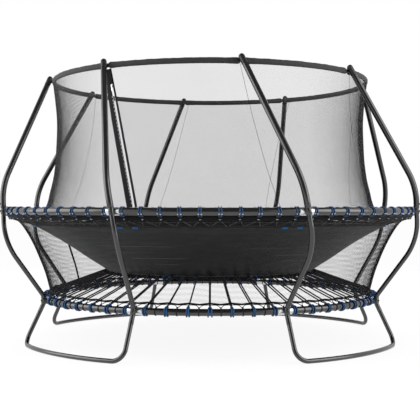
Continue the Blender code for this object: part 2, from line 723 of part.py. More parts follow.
def main():
    clear_scene()
    new_collection("garden_trampoline")
    new_collection("cutters")
    make_poles()
    make_posts()
    make_base_frames()
    make_ring("upper", UPPER_RING_RADIUS, UPPER_RING_HEIGHT, UPPER_RING_TUBE, UPPER_SOCKET_DEG)
    make_ring("lower", LOWER_RING_RADIUS, LOWER_RING_HEIGHT, LOWER_RING_TUBE, LOWER_SOCKET_DEG)
    make_top_ring()
    make_pole_caps()
    make_bed()
    make_funnel()
    make_upper_lacing()
    make_elastic_cords()
    make_skirt_lacing()
    make_netting("enclosure_net", NET_PROFILE, NET_GAPS, net_point, closed=False)
    make_netting("skirt_net", SKIRT_PROFILE, SKIRT_GAPS, skirt_point, closed=True)
    make_door()
    make_slider()


main()
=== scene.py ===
"""Looks of a round springless garden trampoline: gloss steel tubes, cords, funnel cloth and fine net,
built round its packed frame. Metres, +Z up, the origin on the ground at the centre, the front at -Y."""

import random
from math import atan2, cos, degrees, pi, radians, sin, tan

import bmesh
import bpy
from mathutils import Matrix, Vector, noise


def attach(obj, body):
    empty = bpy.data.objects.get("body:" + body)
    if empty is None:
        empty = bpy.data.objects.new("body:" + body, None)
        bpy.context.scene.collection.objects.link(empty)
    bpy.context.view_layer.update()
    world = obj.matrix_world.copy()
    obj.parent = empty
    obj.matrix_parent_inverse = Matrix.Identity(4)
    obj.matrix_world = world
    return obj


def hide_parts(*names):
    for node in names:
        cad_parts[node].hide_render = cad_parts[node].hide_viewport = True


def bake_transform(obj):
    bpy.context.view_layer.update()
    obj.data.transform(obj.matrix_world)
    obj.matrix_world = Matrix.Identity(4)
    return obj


bl_info = {
    "name": "Springless Garden Trampoline",
    "version": (1, 0, 0),
    "blender": (4, 5, 0),
    "location": "3D View > Sidebar > Trampoline",
    "description": "Builds a springless trampoline's tubes, cords, cloth and net round its frame",
    "category": "Object",
}

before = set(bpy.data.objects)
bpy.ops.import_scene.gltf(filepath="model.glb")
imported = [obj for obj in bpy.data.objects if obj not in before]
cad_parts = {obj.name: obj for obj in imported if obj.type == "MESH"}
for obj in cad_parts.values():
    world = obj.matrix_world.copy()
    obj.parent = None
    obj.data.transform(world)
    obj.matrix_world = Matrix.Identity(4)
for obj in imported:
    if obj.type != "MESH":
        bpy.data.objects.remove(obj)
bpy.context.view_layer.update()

UP = Vector((0, 0, 1))
BAYS = 8
BAY_DEG = 360 / BAYS
POLE_ANGLES = [-67.5 + BAY_DEG * i for i in range(BAYS)]
POLE_LEANS = [-13.5, -12.5, -12.5, -14.5, -13.5, -10.2, -11.0, -12.1]  # degrees round, from foot to top
POLE_TOP_ANGLES = [angle + lean for angle, lean in zip(POLE_ANGLES, POLE_LEANS)]
POST_RADIUS = 1.874
UPRIGHT_LEAN = 0.20  # how far a post goes sideways for each metre up past the upper ring
UPPER_RING_HEIGHT = 1.141
POLE_FOOT_HEIGHT = 1.169
POLE_BEND_HEIGHT = 1.352
POLE_BEND = 0.580  # the radius of a pole's bend
POLE_TOP_RADIUS = 1.4545
POLE_END_HEIGHT = 2.262
POST_BENDS = (0.490, 0.090)  # the radii of a post's two bends
POST_BELOW_KINK = 0.115
BASE_RADIUS = 1.695
BASE_BEND = 0.100
CAP_LENGTH = 0.088
BED_HEIGHT = 0.609
# Each of these is a radius and a height, and each profile runs from its top down.
KINK = (1.516, 0.392)
TOP_RING = (1.409, 2.292)
HEM = (1.640, 1.032)
NET_PROFILE = [(1.413, 2.267), (1.382, 1.987), (1.382, 1.773), (1.404, 1.478), (1.444, 1.295),
               (1.475, 1.180), (1.572, 1.016)]
SKIRT_PROFILE = [(1.785, 1.080), (1.713, 1.048), (1.645, 0.955), (1.579, 0.831), (1.530, 0.715),
                 (1.480, 0.580), (1.441, 0.431)]
FUNNEL_PROFILE = [(1.602, 1.021), (1.572, 1.008), (1.480, 0.962), (1.356, 0.891), (1.235, 0.815),
                  (1.120, 0.737), (1.020, 0.671), (0.928, 0.6105)]
# The funnel's fold lines, each with relief and a pale painted highlight along it: the height, the first and last
# angle, and the strength.
FUNNEL_FOLDS_AND_HIGHLIGHTS = [(0.995, -47, -20, 0.25), (0.925, -52, -30, 0.5), (0.865, -46, -12, 0.65), (0.815, -42, -20, 0.4),
                  (0.765, -33, -8, 0.75), (0.715, -26, -12, 0.5), (0.790, 24, 44, 0.6), (0.740, 30, 40, 0.4),
                  (0.900, 40, 55, 0.35), (0.850, 12, 30, 0.25)]
NET_LEAN_DEG = (-13.15, 0.65)  # how far round a net seam has gone, at its top and at its foot
SEAM_ANGLE = 243.5  # the skirt's one seam, counted from the front
DOOR_POLE = 1
DOOR_HEAD = (1.398, -34.6, 2.236)  # the zip's ends: radius, angle and height
DOOR_FOOT = (1.475, -23.4, 1.180)
SLIT_HEAD_HEIGHT = 2.126
SLIT_HALF = 0.0095


def colour_setting(name, description, *default):
    return bpy.props.FloatVectorProperty(name=name, description=description, subtype="COLOR", size=4, min=0,
                                         max=1, default=(*default, 1))


def length_setting(name, description, default):
    return bpy.props.FloatProperty(name=name, description=description, subtype="DISTANCE", default=default)


def share_setting(name, description, default):
    return bpy.props.FloatProperty(name=name, description=description, min=0, max=1, default=default)


def count_setting(name, description, default):
    return bpy.props.IntProperty(name=name, description=description, default=default)


class SteelSettings(bpy.types.PropertyGroup):
    """Tubes of the rings, posts, poles and base frames"""

    colour: colour_setting("Coating", "Colour of the powder coating", 0.006, 0.006, 0.007)
    zinc: colour_setting("Zinc", "Colour of the bright plated sockets", 0.72, 0.73, 0.75)
    gloss: share_setting("Coating roughness", "Roughness of the powder coating", 0.17)
    upper_ring: length_setting("Upper ring radius", "Centre line of the upper ring", 1.830)
    upper_tube: length_setting("Upper tube radius", "Outer radius of the upper ring's tube", 0.0305)
    upper_height: length_setting("Upper ring height", "Height of the upper ring", UPPER_RING_HEIGHT)
    lower_ring: length_setting("Lower ring radius", "Centre line of the lower ring", 1.486)
    lower_tube: length_setting("Lower tube radius", "Outer radius of the lower ring's tube", 0.0275)
    lower_height: length_setting("Lower ring height", "Height of the lower ring", 0.379)
    pole_tube: length_setting("Pole radius", "Outer radius of an enclosure pole", 0.0245)
    post_tube: length_setting("Post radius", "Outer radius of a leg post", 0.0195)
    base_tube: length_setting("Base tube radius", "Outer radius of a base frame", 0.019)


class ClothSettings(bpy.types.PropertyGroup):
    """Bed, funnel, net and padded ring"""

    bed: colour_setting("Bed", "Colour of the jumping bed", 0.008, 0.008, 0.009)
    funnel: colour_setting("Funnel", "Colour of the funnel cloth", 0.0060, 0.0068, 0.0074)
    sleeve: colour_setting("Sleeve", "Colour of the top ring's padded sleeves", 0.024, 0.024, 0.026)
    net: colour_setting("Net", "Colour of the net's threads", 0.012, 0.012, 0.014)
    net_cover: share_setting("Net cover", "Share of the net's area that its threads cover", 0.26)
    net_pitch: length_setting("Net pitch", "Distance between the net's threads", 0.0036)


class CordSettings(bpy.types.PropertyGroup):
    """Loops, elastic rods and lacing"""

    # the pieces use lit and shaded copies of this blue: painted light and shade
    blue: colour_setting("Blue", "Colour of the loops", 0.003, 0.100, 0.300)
    black: colour_setting("Black", "Colour that the hem cord is shaded from", 0.010, 0.010, 0.011)
    elastic: length_setting("Elastic radius", "Radius of an elastic rod", 0.0056)
    loop: length_setting("Loop radius", "Radius of an upper loop's cord", 0.0042)
    lower_loop: length_setting("Lower loop radius", "Radius of a lower loop's cord", 0.0058)
    upper_per_bay: count_setting("Upper loops", "Loops on the upper ring between two posts", 10)
    lower_per_bay: count_setting("Lower loops", "Loops on the lower ring between two posts", 7)


class StageSettings(bpy.types.PropertyGroup):
    """Floor, light and camera"""

    floor: colour_setting("Floor", "Colour of the floor", 0.80, 0.80, 0.80)
    side_power: bpy.props.FloatProperty(
        name="Side lights", description="Power of the left light, which the others follow", subtype="POWER",
        default=290)
    distance: length_setting("Camera distance", "From the camera to the trampoline's centre", 8.33)
    lens: bpy.props.FloatProperty(name="Lens", description="Focal length on a 36 mm sensor", default=77.9)


# ---------------------------------------------------------------- places

def at(radius, angle, height):
    """The point at this radius and height, this many degrees round from the front."""
    turn = radians(angle)
    return Vector((radius * sin(turn), -radius * cos(turn), height))


def angle_of(point):
    return degrees(atan2(point.x, -point.y))


def turned_by(angle):
    return Matrix.Rotation(radians(angle), 4, "Z")


def loop_angles(per_bay):
    """Angles spread evenly round, so many in each bay, which keep clear of the posts."""
    count = per_bay * BAYS
    return [POLE_ANGLES[0] + 360 / count * (i + 0.5) for i in range(count)]


def axes_at(place, x, y, z):
    """A matrix with these axes, at this place."""
    made = Matrix((x, y, z)).transposed().to_4x4()
    made.translation = place
    return made


def rounded_path(corners, bends, steps):
    """The corners' path, with each inner corner rounded to its bend radius."""
    path = [corners[0]]
    for before, corner, after, bend in zip(corners, corners[1:], corners[2:], bends):
        back = (before - corner).normalized()
        onward = (after - corner).normalized()
        half = back.angle(onward) / 2
        centre = corner + (back + onward).normalized() * bend / sin(half)
        first = corner + back * bend / tan(half) - centre
        last = corner + onward * bend / tan(half) - centre
        sweep = first.angle(last)
        for i in range(steps + 1):
            share = i / steps
            path.append(centre + (first * sin((1 - share) * sweep) + last * sin(share * sweep)) / sin(sweep))
    path.append(corners[-1])
    return path


def smooth_line(points, per_span):
    """Points along a smooth curve through these points, as vectors of any size."""
    found = []
    last = len(points) - 1
    for i in range(last):
        a, b, c, d = (points[min(max(i + k, 0), last)] for k in (-1, 0, 1, 2))
        for step in range(per_span):
            t = step / per_span
            found.append(0.5 * (2 * b + (c - a) * t + (2 * a - 5 * b + 4 * c - d) * t * t
                                + (3 * b - a - 3 * c + d) * t ** 3))
    return found + [points[-1]]


def profile_radius(profile, height):
    """The radius of a (radius, height) profile, top first, at this height."""
    for (high_radius, high), (low_radius, low) in zip(profile, profile[1:]):
        if height >= low:
            break
    return low_radius + (high_radius - low_radius) * (height - low) / (high - low)


def fine_profile(profile, per_span):
    return [(p.x, p.y) for p in smooth_line([Vector(p) for p in profile], per_span)]


def profile_point(profile, share):
    """The radius and height at this share of a profile's steps."""
    spot = share * (len(profile) - 1)
    low = min(int(spot), len(profile) - 2)
    return [start + (end - start) * (spot - low) for start, end in zip(profile[low], profile[low + 1])]


def round_noise(across, scale, height):
    """Noise that closes on itself once round."""
    turn = 2 * pi * across
    return noise.noise(Vector((cos(turn) * scale, sin(turn) * scale, height)))


def upright(height):
    """The point at this height on the axis of the front-facing post, where it passes the upper ring."""
    return Vector((-UPRIGHT_LEAN * (height - UPPER_RING_HEIGHT), -POST_RADIUS, height))


def post_path(steps=10):
    """Centre line of the front-facing post, top first."""
    kink = at(KINK[0], 0, KINK[1])
    ground = at(BASE_RADIUS, 0, 0.0176)
    lower = kink + (ground - kink).normalized() * POST_BELOW_KINK
    corners = [upright(1.227), upright(0.888), kink, lower]
    upper = rounded_path(corners[:3], POST_BENDS[:1], steps)
    return upper[:-1] + rounded_path(corners[1:], POST_BENDS[1:], steps)[1:]


def post_at(height):
    """The point at this height on the centre line of the front-facing post."""
    path = post_path()
    for high, low in zip(path, path[1:]):
        if low.z <= height <= high.z:
            return high.lerp(low, (high.z - height) / (high.z - low.z))
    raise ValueError("no post at this height")


def pole_line(index):
    """The straight run of a pole: its bend's corner, its end and the direction it points in."""
    bend = turned_by(POLE_ANGLES[index]) @ upright(POLE_BEND_HEIGHT)
    top = at(POLE_TOP_RADIUS, POLE_TOP_ANGLES[index], TOP_RING[1])
    end = bend.lerp(top, (POLE_END_HEIGHT - bend.z) / (top.z - bend.z))
    return bend, end, (top - bend).normalized()


def seam_angle(turns, height):
    """Net seams lean round with the poles. The first one is the entrance's, one turn is one bay."""
    top, foot = NET_PROFILE[0][1], NET_PROFILE[-1][1]
    lean = NET_LEAN_DEG[1] + (NET_LEAN_DEG[0] - NET_LEAN_DEG[1]) * (height - foot) / (top - foot)
    return POLE_ANGLES[DOOR_POLE] + BAY_DEG * turns + lean


def door_line(height):
    """The zip's centre line: straight down to its foot, then with the net in to the hem."""
    head, foot = at(*DOOR_HEAD), at(*DOOR_FOOT)
    if height >= foot.z:
        return foot + (head - foot) * (height - foot.z) / (head.z - foot.z)
    radius, low = NET_PROFILE[-1]
    hem = at(radius, seam_angle(0, low), low)
    return hem + (foot - hem) * (height - low) / (foot.z - low)


def door_axes(height):
    """The level ways along the net, to the right as seen from outside, and out of it, at the zip's line."""
    turn = radians(angle_of(door_line(height)))
    level = Vector((cos(turn), sin(turn), 0))
    return level, level.cross(UP)


def zip_axes():
    """The zip's upper end, and the directions across it, in through the net and up along it there."""
    up = (at(*DOOR_HEAD) - at(*DOOR_FOOT)).normalized()
    inward = up.cross(door_axes(SLIT_HEAD_HEIGHT)[0]).normalized()
    return door_line(SLIT_HEAD_HEIGHT), inward.cross(up), inward, up


def round_tube(ring, height, reach, turn, aside, lean=0.0):
    """The point this many degrees up round a ring's tube from its outermost one, at the front."""
    turn = radians(turn)
    return Vector((aside - lean * sin(turn), -(ring + reach * cos(turn)), height + reach * sin(turn)))


def tube_loop(ring, height, reach, first, aside, lean=0.0, turned=360):
    """Points round a ring's tube at the front, down from the first one's angle."""
    steps = 16
    return [round_tube(ring, height, reach, first - turned * k / steps, aside, lean) for k in range(steps + 1)]


def facing(place, way):
    """A matrix at this place with Z along this way."""
    return Matrix.Translation(place) @ way.to_track_quat("Z", "X").to_matrix().to_4x4()


# ---------------------------------------------------------------- shapes

def path_frames(path, closed, side):
    """A matrix at each point of a path, with Z along it and X near the side given, without twist."""
    found = []
    for i, place in enumerate(path):
        before = path[i - 1] if i or closed else place
        after = path[(i + 1) % len(path)] if i + 1 < len(path) or closed else place
        along = (after - before).normalized()
        side = (side - along * side.dot(along)).normalized()
        found.append(axes_at(place, side, along.cross(side), along))
    return found


def edges_of(vertices):
    """The edges at these vertices, each once and in the same order on each run."""
    return list(dict.fromkeys(edge for vertex in vertices for edge in vertex.link_edges))


def bevelled(bm, edges, width, segments=2):
    bmesh.ops.bevel(bm, geom=list(edges), offset=width, affect="EDGES", segments=segments, profile=0.5,
                    material=-1)


def sweep(bm, path, radius, sides=16, closed=False, sizes=None, side=None, rim=0.0):
    """Sweeps a round section along a path by extruding its rim from point to point.
    sizes holds a factor, or one across and one through, for each point. The ends are filled."""
    if side is None:
        side = (path[1] - path[0]).normalized().orthogonal()
    along = bm.verts.layers.float.get("along") or bm.verts.layers.float.new("along")
    places = path_frames(path, closed, side)
    if sizes:
        pairs = [size if isinstance(size, tuple) else (size, size) for size in sizes]
        places = [place @ Matrix.Diagonal((wide, deep, 1, 1)) for place, (wide, deep) in zip(places, pairs)]
    ring = bmesh.ops.create_circle(bm, cap_ends=False, segments=sides, radius=radius, matrix=places[0])["verts"]
    edges = edges_of(ring)
    first, gone = edges, 0.0
    for i in range(1, len(path)):
        grown = bmesh.ops.extrude_edge_only(bm, edges=edges)["geom"]
        ring = [item for item in grown if isinstance(item, bmesh.types.BMVert)]
        fresh = set(ring)
        edges = [item for item in grown if isinstance(item, bmesh.types.BMEdge) and set(item.verts) <= fresh]
        bmesh.ops.transform(bm, matrix=places[i] @ places[i - 1].inverted(), verts=ring)
        gone += (path[i] - path[i - 1]).length
        for vertex in ring:
            vertex[along] = gone
    if closed:
        bmesh.ops.bridge_loops(bm, edges=edges + first)
    else:
        bmesh.ops.edgeloop_fill(bm, edges=first)
        bmesh.ops.edgeloop_fill(bm, edges=edges)
        if rim:
            bevelled(bm, first + edges, rim)


def add_bar(bm, start, end, radius, sides=16, top=None, rim=0.0):
    """A straight round bar from start to end, which may narrow to a top radius."""
    made = bmesh.ops.create_cone(bm, cap_ends=True, segments=sides, radius1=radius,
                                 radius2=radius if top is None else top, depth=(end - start).length,
                                 matrix=facing((start + end) / 2, end - start))
    if rim:
        bevelled(bm, [edge for edge in edges_of(made["verts"])
                      if any(len(face.verts) > 4 for face in edge.link_faces)], rim)


def add_block(bm, size, where, rim=0.0, segments=2):
    """A box of this size with rounded edges."""
    made = bmesh.ops.create_cube(bm, size=1, matrix=where @ Matrix.Diagonal((*size, 1)))
    if rim:
        bevelled(bm, edges_of(made["verts"]), rim, segments)


def add_ball(bm, where, radius=1):
    """A coarse ball. Its vertices are returned."""
    return bmesh.ops.create_uvsphere(bm, u_segments=10, v_segments=7, radius=radius, matrix=where)["verts"]


def add_bolt(bm, place, out, radius, height):
    """A hexagon head on its washer, facing out."""
    add_bar(bm, place - out * 0.002, place + out * 0.0016, radius * 1.55, 20, rim=0.0004)
    add_bar(bm, place, place + out * height, radius, 6, rim=0.0008)
    add_bar(bm, place + out * (height - 0.0005), place + out * (height + 0.0012), radius * 0.55, 16,
            top=radius * 0.35)


def add_ties(bm, radius, height, aside, half):
    """Three short turns of cord, one over the other, which tie a cloth's edge down on both sides of a post."""
    for angle in POLE_ANGLES:
        for side in (-aside, aside):
            place = at(radius, angle + side, height)
            along = Vector((-place.y, place.x, 0)).normalized() * half
            for middle in (place - UP * 0.0052, place, place + UP * 0.0052):
                sweep(bm, smooth_line([middle - along, middle, middle + along], 2), 0.0030, 6,
                      sizes=[0.7, 1, 1, 1, 0.7])


def revolve(bm, profile, steps, closed=False):
    """Spins a (radius, height) profile once round the Z axis."""
    line = [bm.verts.new((radius, 0, height)) for radius, height in profile]
    pairs = zip(line, line[1:] + line[:1] if closed else line[1:])
    edges = [bm.edges.new(pair) for pair in pairs]
    bmesh.ops.spin(bm, geom=line + edges, cent=(0, 0, 0), axis=(0, 0, 1), angle=2 * pi, steps=steps,
                   use_merge=True)
    bmesh.ops.remove_doubles(bm, verts=bm.verts, dist=0.00001)


def mesh_from(name, bm, recalculate=True):
    if recalculate:
        bmesh.ops.recalc_face_normals(bm, faces=bm.faces)
    mesh = bpy.data.meshes.new(name)
    bm.to_mesh(mesh)
    bm.free()
    return mesh


def turned_copy(shape, angle):
    mesh = shape.copy()
    mesh.transform(turned_by(angle))
    return mesh


def copies(name, shape, places):
    """One mesh with a copy of a shape at each of these places."""
    bm = bmesh.new()
    for place in places:
        one = shape.copy()
        one.transform(place)
        bm.from_mesh(one)
        bpy.data.meshes.remove(one)
    return mesh_from(name, bm, recalculate=False)


def piece(name, shape, finish, stands_for=(), body="frame", edge=40, blend=None, wall=0.0):
    """A named piece of the trampoline that rides on a body, or, with blend, on none: blend's two points are not
    used. A wall thickens a sheet.
    """
    mesh = mesh_from(name, shape) if isinstance(shape, bmesh.types.BMesh) else shape
    made = bpy.data.objects.new(name, mesh)
    bpy.context.scene.collection.objects.link(made)
    mesh.materials.clear()
    mesh.materials.append(finish)
    mesh.shade_smooth()
    if edge:
        mesh.set_sharp_from_angle(angle=radians(edge))
    if stands_for:
        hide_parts(*stands_for)
    if blend:
        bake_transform(made)
    else:
        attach(made, body)
    if wall:
        layer = made.modifiers.new("wall", "SOLIDIFY")
        layer.thickness = wall
        layer.offset = 0
    return made


def cloth_grid(wide, tall, point, closed=False):
    """A sheet from a grid whose corners are placed by point(share across, share up). Its UV map is in shares."""
    bm = bmesh.new()
    bmesh.ops.create_grid(bm, x_segments=wide, y_segments=tall, size=0.5)
    uv = bm.loops.layers.uv.new("UVMap")
    for face in bm.faces:
        for loop in face.loops:
            loop[uv].uv = (loop.vert.co.x + 0.5, loop.vert.co.y + 0.5)
    for vertex in bm.verts:
        vertex.co = point(vertex.co.x + 0.5, vertex.co.y + 0.5)
    if closed:
        bmesh.ops.remove_doubles(bm, verts=bm.verts, dist=0.00001)
    return bm


def waves(share, count, phase=0.0):
    return cos(2 * pi * (share * count + phase))


# ---------------------------------------------------------------- finishes

class Wire:
    """A node's output. Sums, differences and products of wires add Math nodes."""

    def __init__(self, nodes, socket):
        self.nodes = nodes
        self.socket = socket

    def math(self, operation, *others):
        return self.nodes.node("ShaderNodeMath", {"operation": operation}, dict(enumerate((self, *others))))

    def __add__(self, other):
        return self.math("ADD", other)

    __radd__ = __add__

    def __sub__(self, other):
        return self.math("SUBTRACT", other)

    def __rsub__(self, other):
        return self.nodes.node("ShaderNodeMath", {"operation": "SUBTRACT"}, {0: other, 1: self})

    def __mul__(self, other):
        return self.math("MULTIPLY", other)

    __rmul__ = __mul__

    def wave(self):
        return self.math("SINE")

    def size(self):
        return self.math("ABSOLUTE")

    def above(self, low, high):
        """0 below low and 1 above high, smoothly between. With low over high it falls."""
        return self.nodes.node("ShaderNodeMapRange", {"interpolation_type": "SMOOTHSTEP"},
                               {"Value": self, "From Min": low, "From Max": high})


class Nodes:
    """A node tree round its shader. Its sockets take constants and wires alike."""

    def __init__(self, tree, shader):
        self.tree = tree
        self.shader = tree.nodes[shader]

    def put(self, socket, value):
        if isinstance(socket, str):
            socket = self.shader.inputs[socket]
        if isinstance(value, Wire):
            self.tree.links.new(value.socket, socket)
        else:
            socket.default_value = value

    def node(self, kind, settings=None, values=None, output=0):
        made = self.tree.nodes.new(kind)
        for key, value in (settings or {}).items():
            setattr(made, key, value)
        for key, value in (values or {}).items():
            self.put(made.inputs[key], value)
        return Wire(self, made.outputs[output])

    def seen(self):
        """1 for what the camera, a gloss or a clear piece shows, else 0."""
        path = self.tree.nodes.new("ShaderNodeLightPath")
        rays = [Wire(self, path.outputs[name]) for name in ("Is Camera Ray", "Is Glossy Ray",
                                                            "Is Transmission Ray")]
        return rays[0].math("MAXIMUM", rays[1].math("MAXIMUM", rays[2]))


class Finish(Nodes):
    """A material: a Principled shader with constants, and what varies over the surface."""

    def __init__(self, name, colour, roughness, **sockets):
        self.material = bpy.data.materials.new(name)
        self.material.use_nodes = True
        super().__init__(self.material.node_tree, "Principled BSDF")
        self.put("Base Color", colour)
        self.put("Roughness", roughness)
        for key, value in sockets.items():
            self.put(key.replace("_", " "), value)

    def place(self, kind="Object"):
        return self.node("ShaderNodeTexCoord", output=kind)

    def mapped(self, *size):
        """The UV map, stretched to this size in metres."""
        return self.node("ShaderNodeVectorMath", {"operation": "MULTIPLY"}, {0: self.place("UV"), 1: (*size, 1)})

    def parts(self, vector):
        split = self.tree.nodes.new("ShaderNodeSeparateXYZ")
        self.put(split.inputs[0], vector)
        return [Wire(self, output) for output in split.outputs]

    def grain(self, scale, detail=3.0, stretch=None):
        """Noise of this scale, in features a metre."""
        where = self.place()
        if stretch:
            where = self.node("ShaderNodeMapping", None, {"Vector": where, "Scale": stretch})
        return self.node("ShaderNodeTexNoise", None, {"Vector": where, "Scale": scale, "Detail": detail})

    def mix(self, share, first, second):
        """A colour between two."""
        return self.node("ShaderNodeMix", {"data_type": "RGBA"}, {0: share, 6: first, 7: second}, 2)

    def bump(self, height, distance):
        self.put("Normal", self.node("ShaderNodeBump", None, {"Height": height, "Distance": distance}))

    def vary(self, colour, tone, dark, pale, height, distance):
        """The material, its colour a share dark or pale by its tone, and with this relief."""
        self.put("Base Color", self.mix(tone, shaded(colour, dark), shaded(colour, pale)))
        self.bump(height, distance)
        return self.material


def shaded(colour, factor):
    return tuple(min(1.0, value * factor) for value in colour[:3]) + (1,)


def powder_coat(settings):
    """Gloss black powder coating: a fine orange peel, faint rub marks and a trace of dust."""
    made = Finish("black_powder_coat", settings.colour, settings.gloss, Specular_IOR_Level=0.88)
    cloud = made.grain(9.0, 4.0)
    rub = made.grain(160.0, 5.0, stretch=(1.0, 1.0, 0.12)).above(0.60, 0.72)
    made.put("Roughness", settings.gloss + cloud * 0.10 + rub * 0.10 - 0.05)
    return made.vary(settings.colour, cloud * 0.5 + rub * 0.35, 1, 2.4, made.grain(620.0, 2.0) + cloud * 0.6,
                     0.00016)


def zinc_plate(settings):
    """Bright zinc plating of the ring sockets, with a faint spangle."""
    made = Finish("bright_zinc", settings.zinc, 0.22, Metallic=1.0)
    spangle = made.grain(70.0, 3.0)
    made.put("Roughness", 0.16 + spangle * 0.16)
    return made.vary(settings.zinc, spangle, 0.86, 1, made.grain(380.0), 0.0001)


def plastic(name, colour, roughness=0.42):
    """Moulded plastic with a fine spark-eroded texture."""
    made = Finish(name, colour, roughness)
    cloud = made.grain(40.0)
    made.put("Roughness", roughness - 0.05 + cloud * 0.12)
    return made.vary(colour, cloud, 1, 1.6, made.grain(900.0), 0.00012)


def metal(name, colour, roughness):
    made = Finish(name, colour, roughness, Metallic=1.0)
    wear = made.grain(220.0, 4.0)
    made.put("Roughness", roughness - 0.04 + wear * 0.14)
    made.bump(wear, 0.00008)
    return made.material


def weave(made, vector, pitch):
    """Threads over and under each other at this pitch, from 0 to 1."""
    x, y, _ = made.parts(vector)
    across, along = x * (pi / pitch), y * (pi / pitch)
    over = (across.wave() * along.wave()).above(-0.2, 0.2)
    return (across * 2).wave().size() * over + (along * 2).wave().size() * (1 - over)


def woven(name, colour, roughness, pitch, depth, sheen=0.25):
    """Woven cloth, with its weave as seen from above."""
    made = Finish(name, colour, roughness, Sheen_Weight=sheen, Sheen_Roughness=0.45)
    threads = weave(made, made.place(), pitch)
    cloud = made.grain(6.0, 5.0)
    made.put("Roughness", roughness - 0.06 + cloud * 0.14)
    return made.vary(colour, threads * 0.6 + cloud * 0.4, 0.7, 1.45, threads + made.grain(28.0, 4.0) * 3.0, depth)


def netting(name, settings, uv_size, ripple=0.0):
    """Fine knitted net: threads round small diamond holes, in slanted courses, which thin out to a veil from
    afar. Where it hangs, its ripple lies in soft level folds."""
    made = Finish(name, settings.net, 0.62)
    x, y, _ = made.parts(made.mapped(*uv_size))
    rise = pi / settings.net_pitch
    one, other = ((x + y) * rise).wave().size(), ((x - y) * rise).wave().size()
    threads = 1 - one.above(0.0, 0.30) * other.above(0.0, 0.30)
    cloud = made.grain(2.2, 3.0)
    cover = settings.net_cover
    course = ((x * 0.55 + y) * (2 * pi / 0.0165) + cloud * 9.0).wave() * 0.035
    if ripple:
        _, _, height = made.parts(made.place())
        course = course + (height * 150.0 + made.grain(1.7, 1.0) * 26.0).wave() * ripple
    made.put("Alpha", cover * 0.66 + threads * cover * 1.05 + (cloud - 0.5) * 0.05 + course)
    return made.vary(settings.net, threads, 1, 1.8, threads, 0.0003)


def webbing(name, colour, pitch=0.0035, mapped=False):
    """Woven tape with ribs. On a UV map in metres it has a row of stitches near one edge too."""
    made = Finish(name, colour, 0.72, Sheen_Weight=0.03, Specular_IOR_Level=0.12)
    x, y, z = made.parts(made.place("UV" if mapped else "Object"))
    along, across = (x, y) if mapped else (x + y, z)
    ribs = (along * (pi / pitch)).wave().size() * 0.6 + (across * (pi / pitch)).wave().size() * 0.4
    tone = ribs * 0.5 + made.grain(20.0) * 0.5
    if mapped:
        stitch = (x * (2 * pi / 0.007)).wave().above(-0.1, 0.3) * (y - 0.004).size().above(0.0011, 0.0006)
        tone = tone + stitch * 1.2
    return made.vary(colour, tone, 0.7, 1.9, ribs, 0.0004)


def braid(name, colour, fleck, pitch):
    """A sheathed cord: slanted strands along it, with paler flecks."""
    made = Finish(name, colour, 0.5, Sheen_Weight=0.05)
    along = made.node("ShaderNodeAttribute", {"attribute_name": "along"}, output="Fac")
    x, y, z = made.parts(made.place())
    strands = (along * (2 * pi / pitch) + (x + y + z) * 420.0).wave()
    ticks = (along * (2 * pi / (pitch * 1.5))).wave().above(0.55, 0.9) * made.grain(500.0, 1.0).above(0.42, 0.62)
    sheath = made.mix(strands * 0.5 + 0.5, shaded(colour, 0.8), shaded(colour, 1.3))
    made.put("Base Color", made.mix(ticks, sheath, fleck))
    made.bump(strands, 0.0003)
    return made.material


def fold_and_highlight_lines(made):
    """Fold lines in the funnel's cloth: the mask for their relief and for the pale painted highlight along them.
    """
    x, y, z = made.parts(made.place())
    angle = x.math("ARCTAN2", 0 - y) * (180 / pi)
    drift = (made.grain(5.0, 2.0) - 0.5) * 0.012
    marks = []
    for height, first, last, strength in FUNNEL_FOLDS_AND_HIGHLIGHTS:
        line = (z + drift - height).size().above(0.0032, 0.0008)
        half = (last - first) / 2
        marks.append(line * (angle - (first + last) / 2).size().above(half, half - 2.5) * strength)
    return sum(marks)


# ---------------------------------------------------------------- pieces

class MadePiece:
    """What every operator of this panel shares."""

    bl_options = {"REGISTER", "UNDO"}

    def execute(self, context):
        self.make(context.scene)
        return {"FINISHED"}


class TRAMPOLINE_OT_poles(MadePiece, bpy.types.Operator):
    """Adds the eight leaning enclosure poles"""

    bl_idname = "trampoline.poles"
    bl_label = "Enclosure Poles"

    def make(self, scene):
        steel = scene.trampoline_steel
        finish = powder_coat(steel)
        for i, angle in enumerate(POLE_ANGLES):
            foot = turned_by(angle) @ upright(POLE_FOOT_HEIGHT)
            bend, end, _ = pole_line(i)
            bm = bmesh.new()
            sweep(bm, rounded_path([foot, bend, end], [POLE_BEND], 18), steel.pole_tube, 28, rim=0.0016)
            out = at(1, angle, 0)
            seat = turned_by(angle) @ upright(POLE_FOOT_HEIGHT + 0.032) + out * (steel.pole_tube - 0.0005)
            add_bar(bm, seat - out * 0.001, seat + out * 0.0022, 0.0100, 24, rim=0.0006)
            add_bar(bm, seat + out * 0.0015, seat + out * 0.0058, 0.0082, 24, top=0.0056, rim=0.0006)
            add_bar(bm, seat + out * 0.0050, seat + out * 0.0061, 0.0034, 6)
            piece(f"pole_{i + 1}", bm, finish, [f"enclosure_pole_{i + 1}"])


class TRAMPOLINE_OT_posts(MadePiece, bpy.types.Operator):
    """Adds the eight bent leg posts with their bolts"""

    bl_idname = "trampoline.posts"
    bl_label = "Leg Posts"

    def make(self, scene):
        steel = scene.trampoline_steel
        finish = bpy.data.materials["black_powder_coat"]
        bm = bmesh.new()
        sweep(bm, post_path(16), steel.post_tube, 24, rim=0.0012)
        out = at(1, 0, 0)
        for height in (steel.upper_height, steel.lower_height):
            add_bolt(bm, post_at(height) + out * (steel.post_tube + 0.0028), out, 0.0085, 0.0062)
        shape = mesh_from("post", bm)
        for i, angle in enumerate(POLE_ANGLES):
            piece(f"post_{i + 1}", turned_copy(shape, angle), finish, [f"leg_post_{i + 1}"])


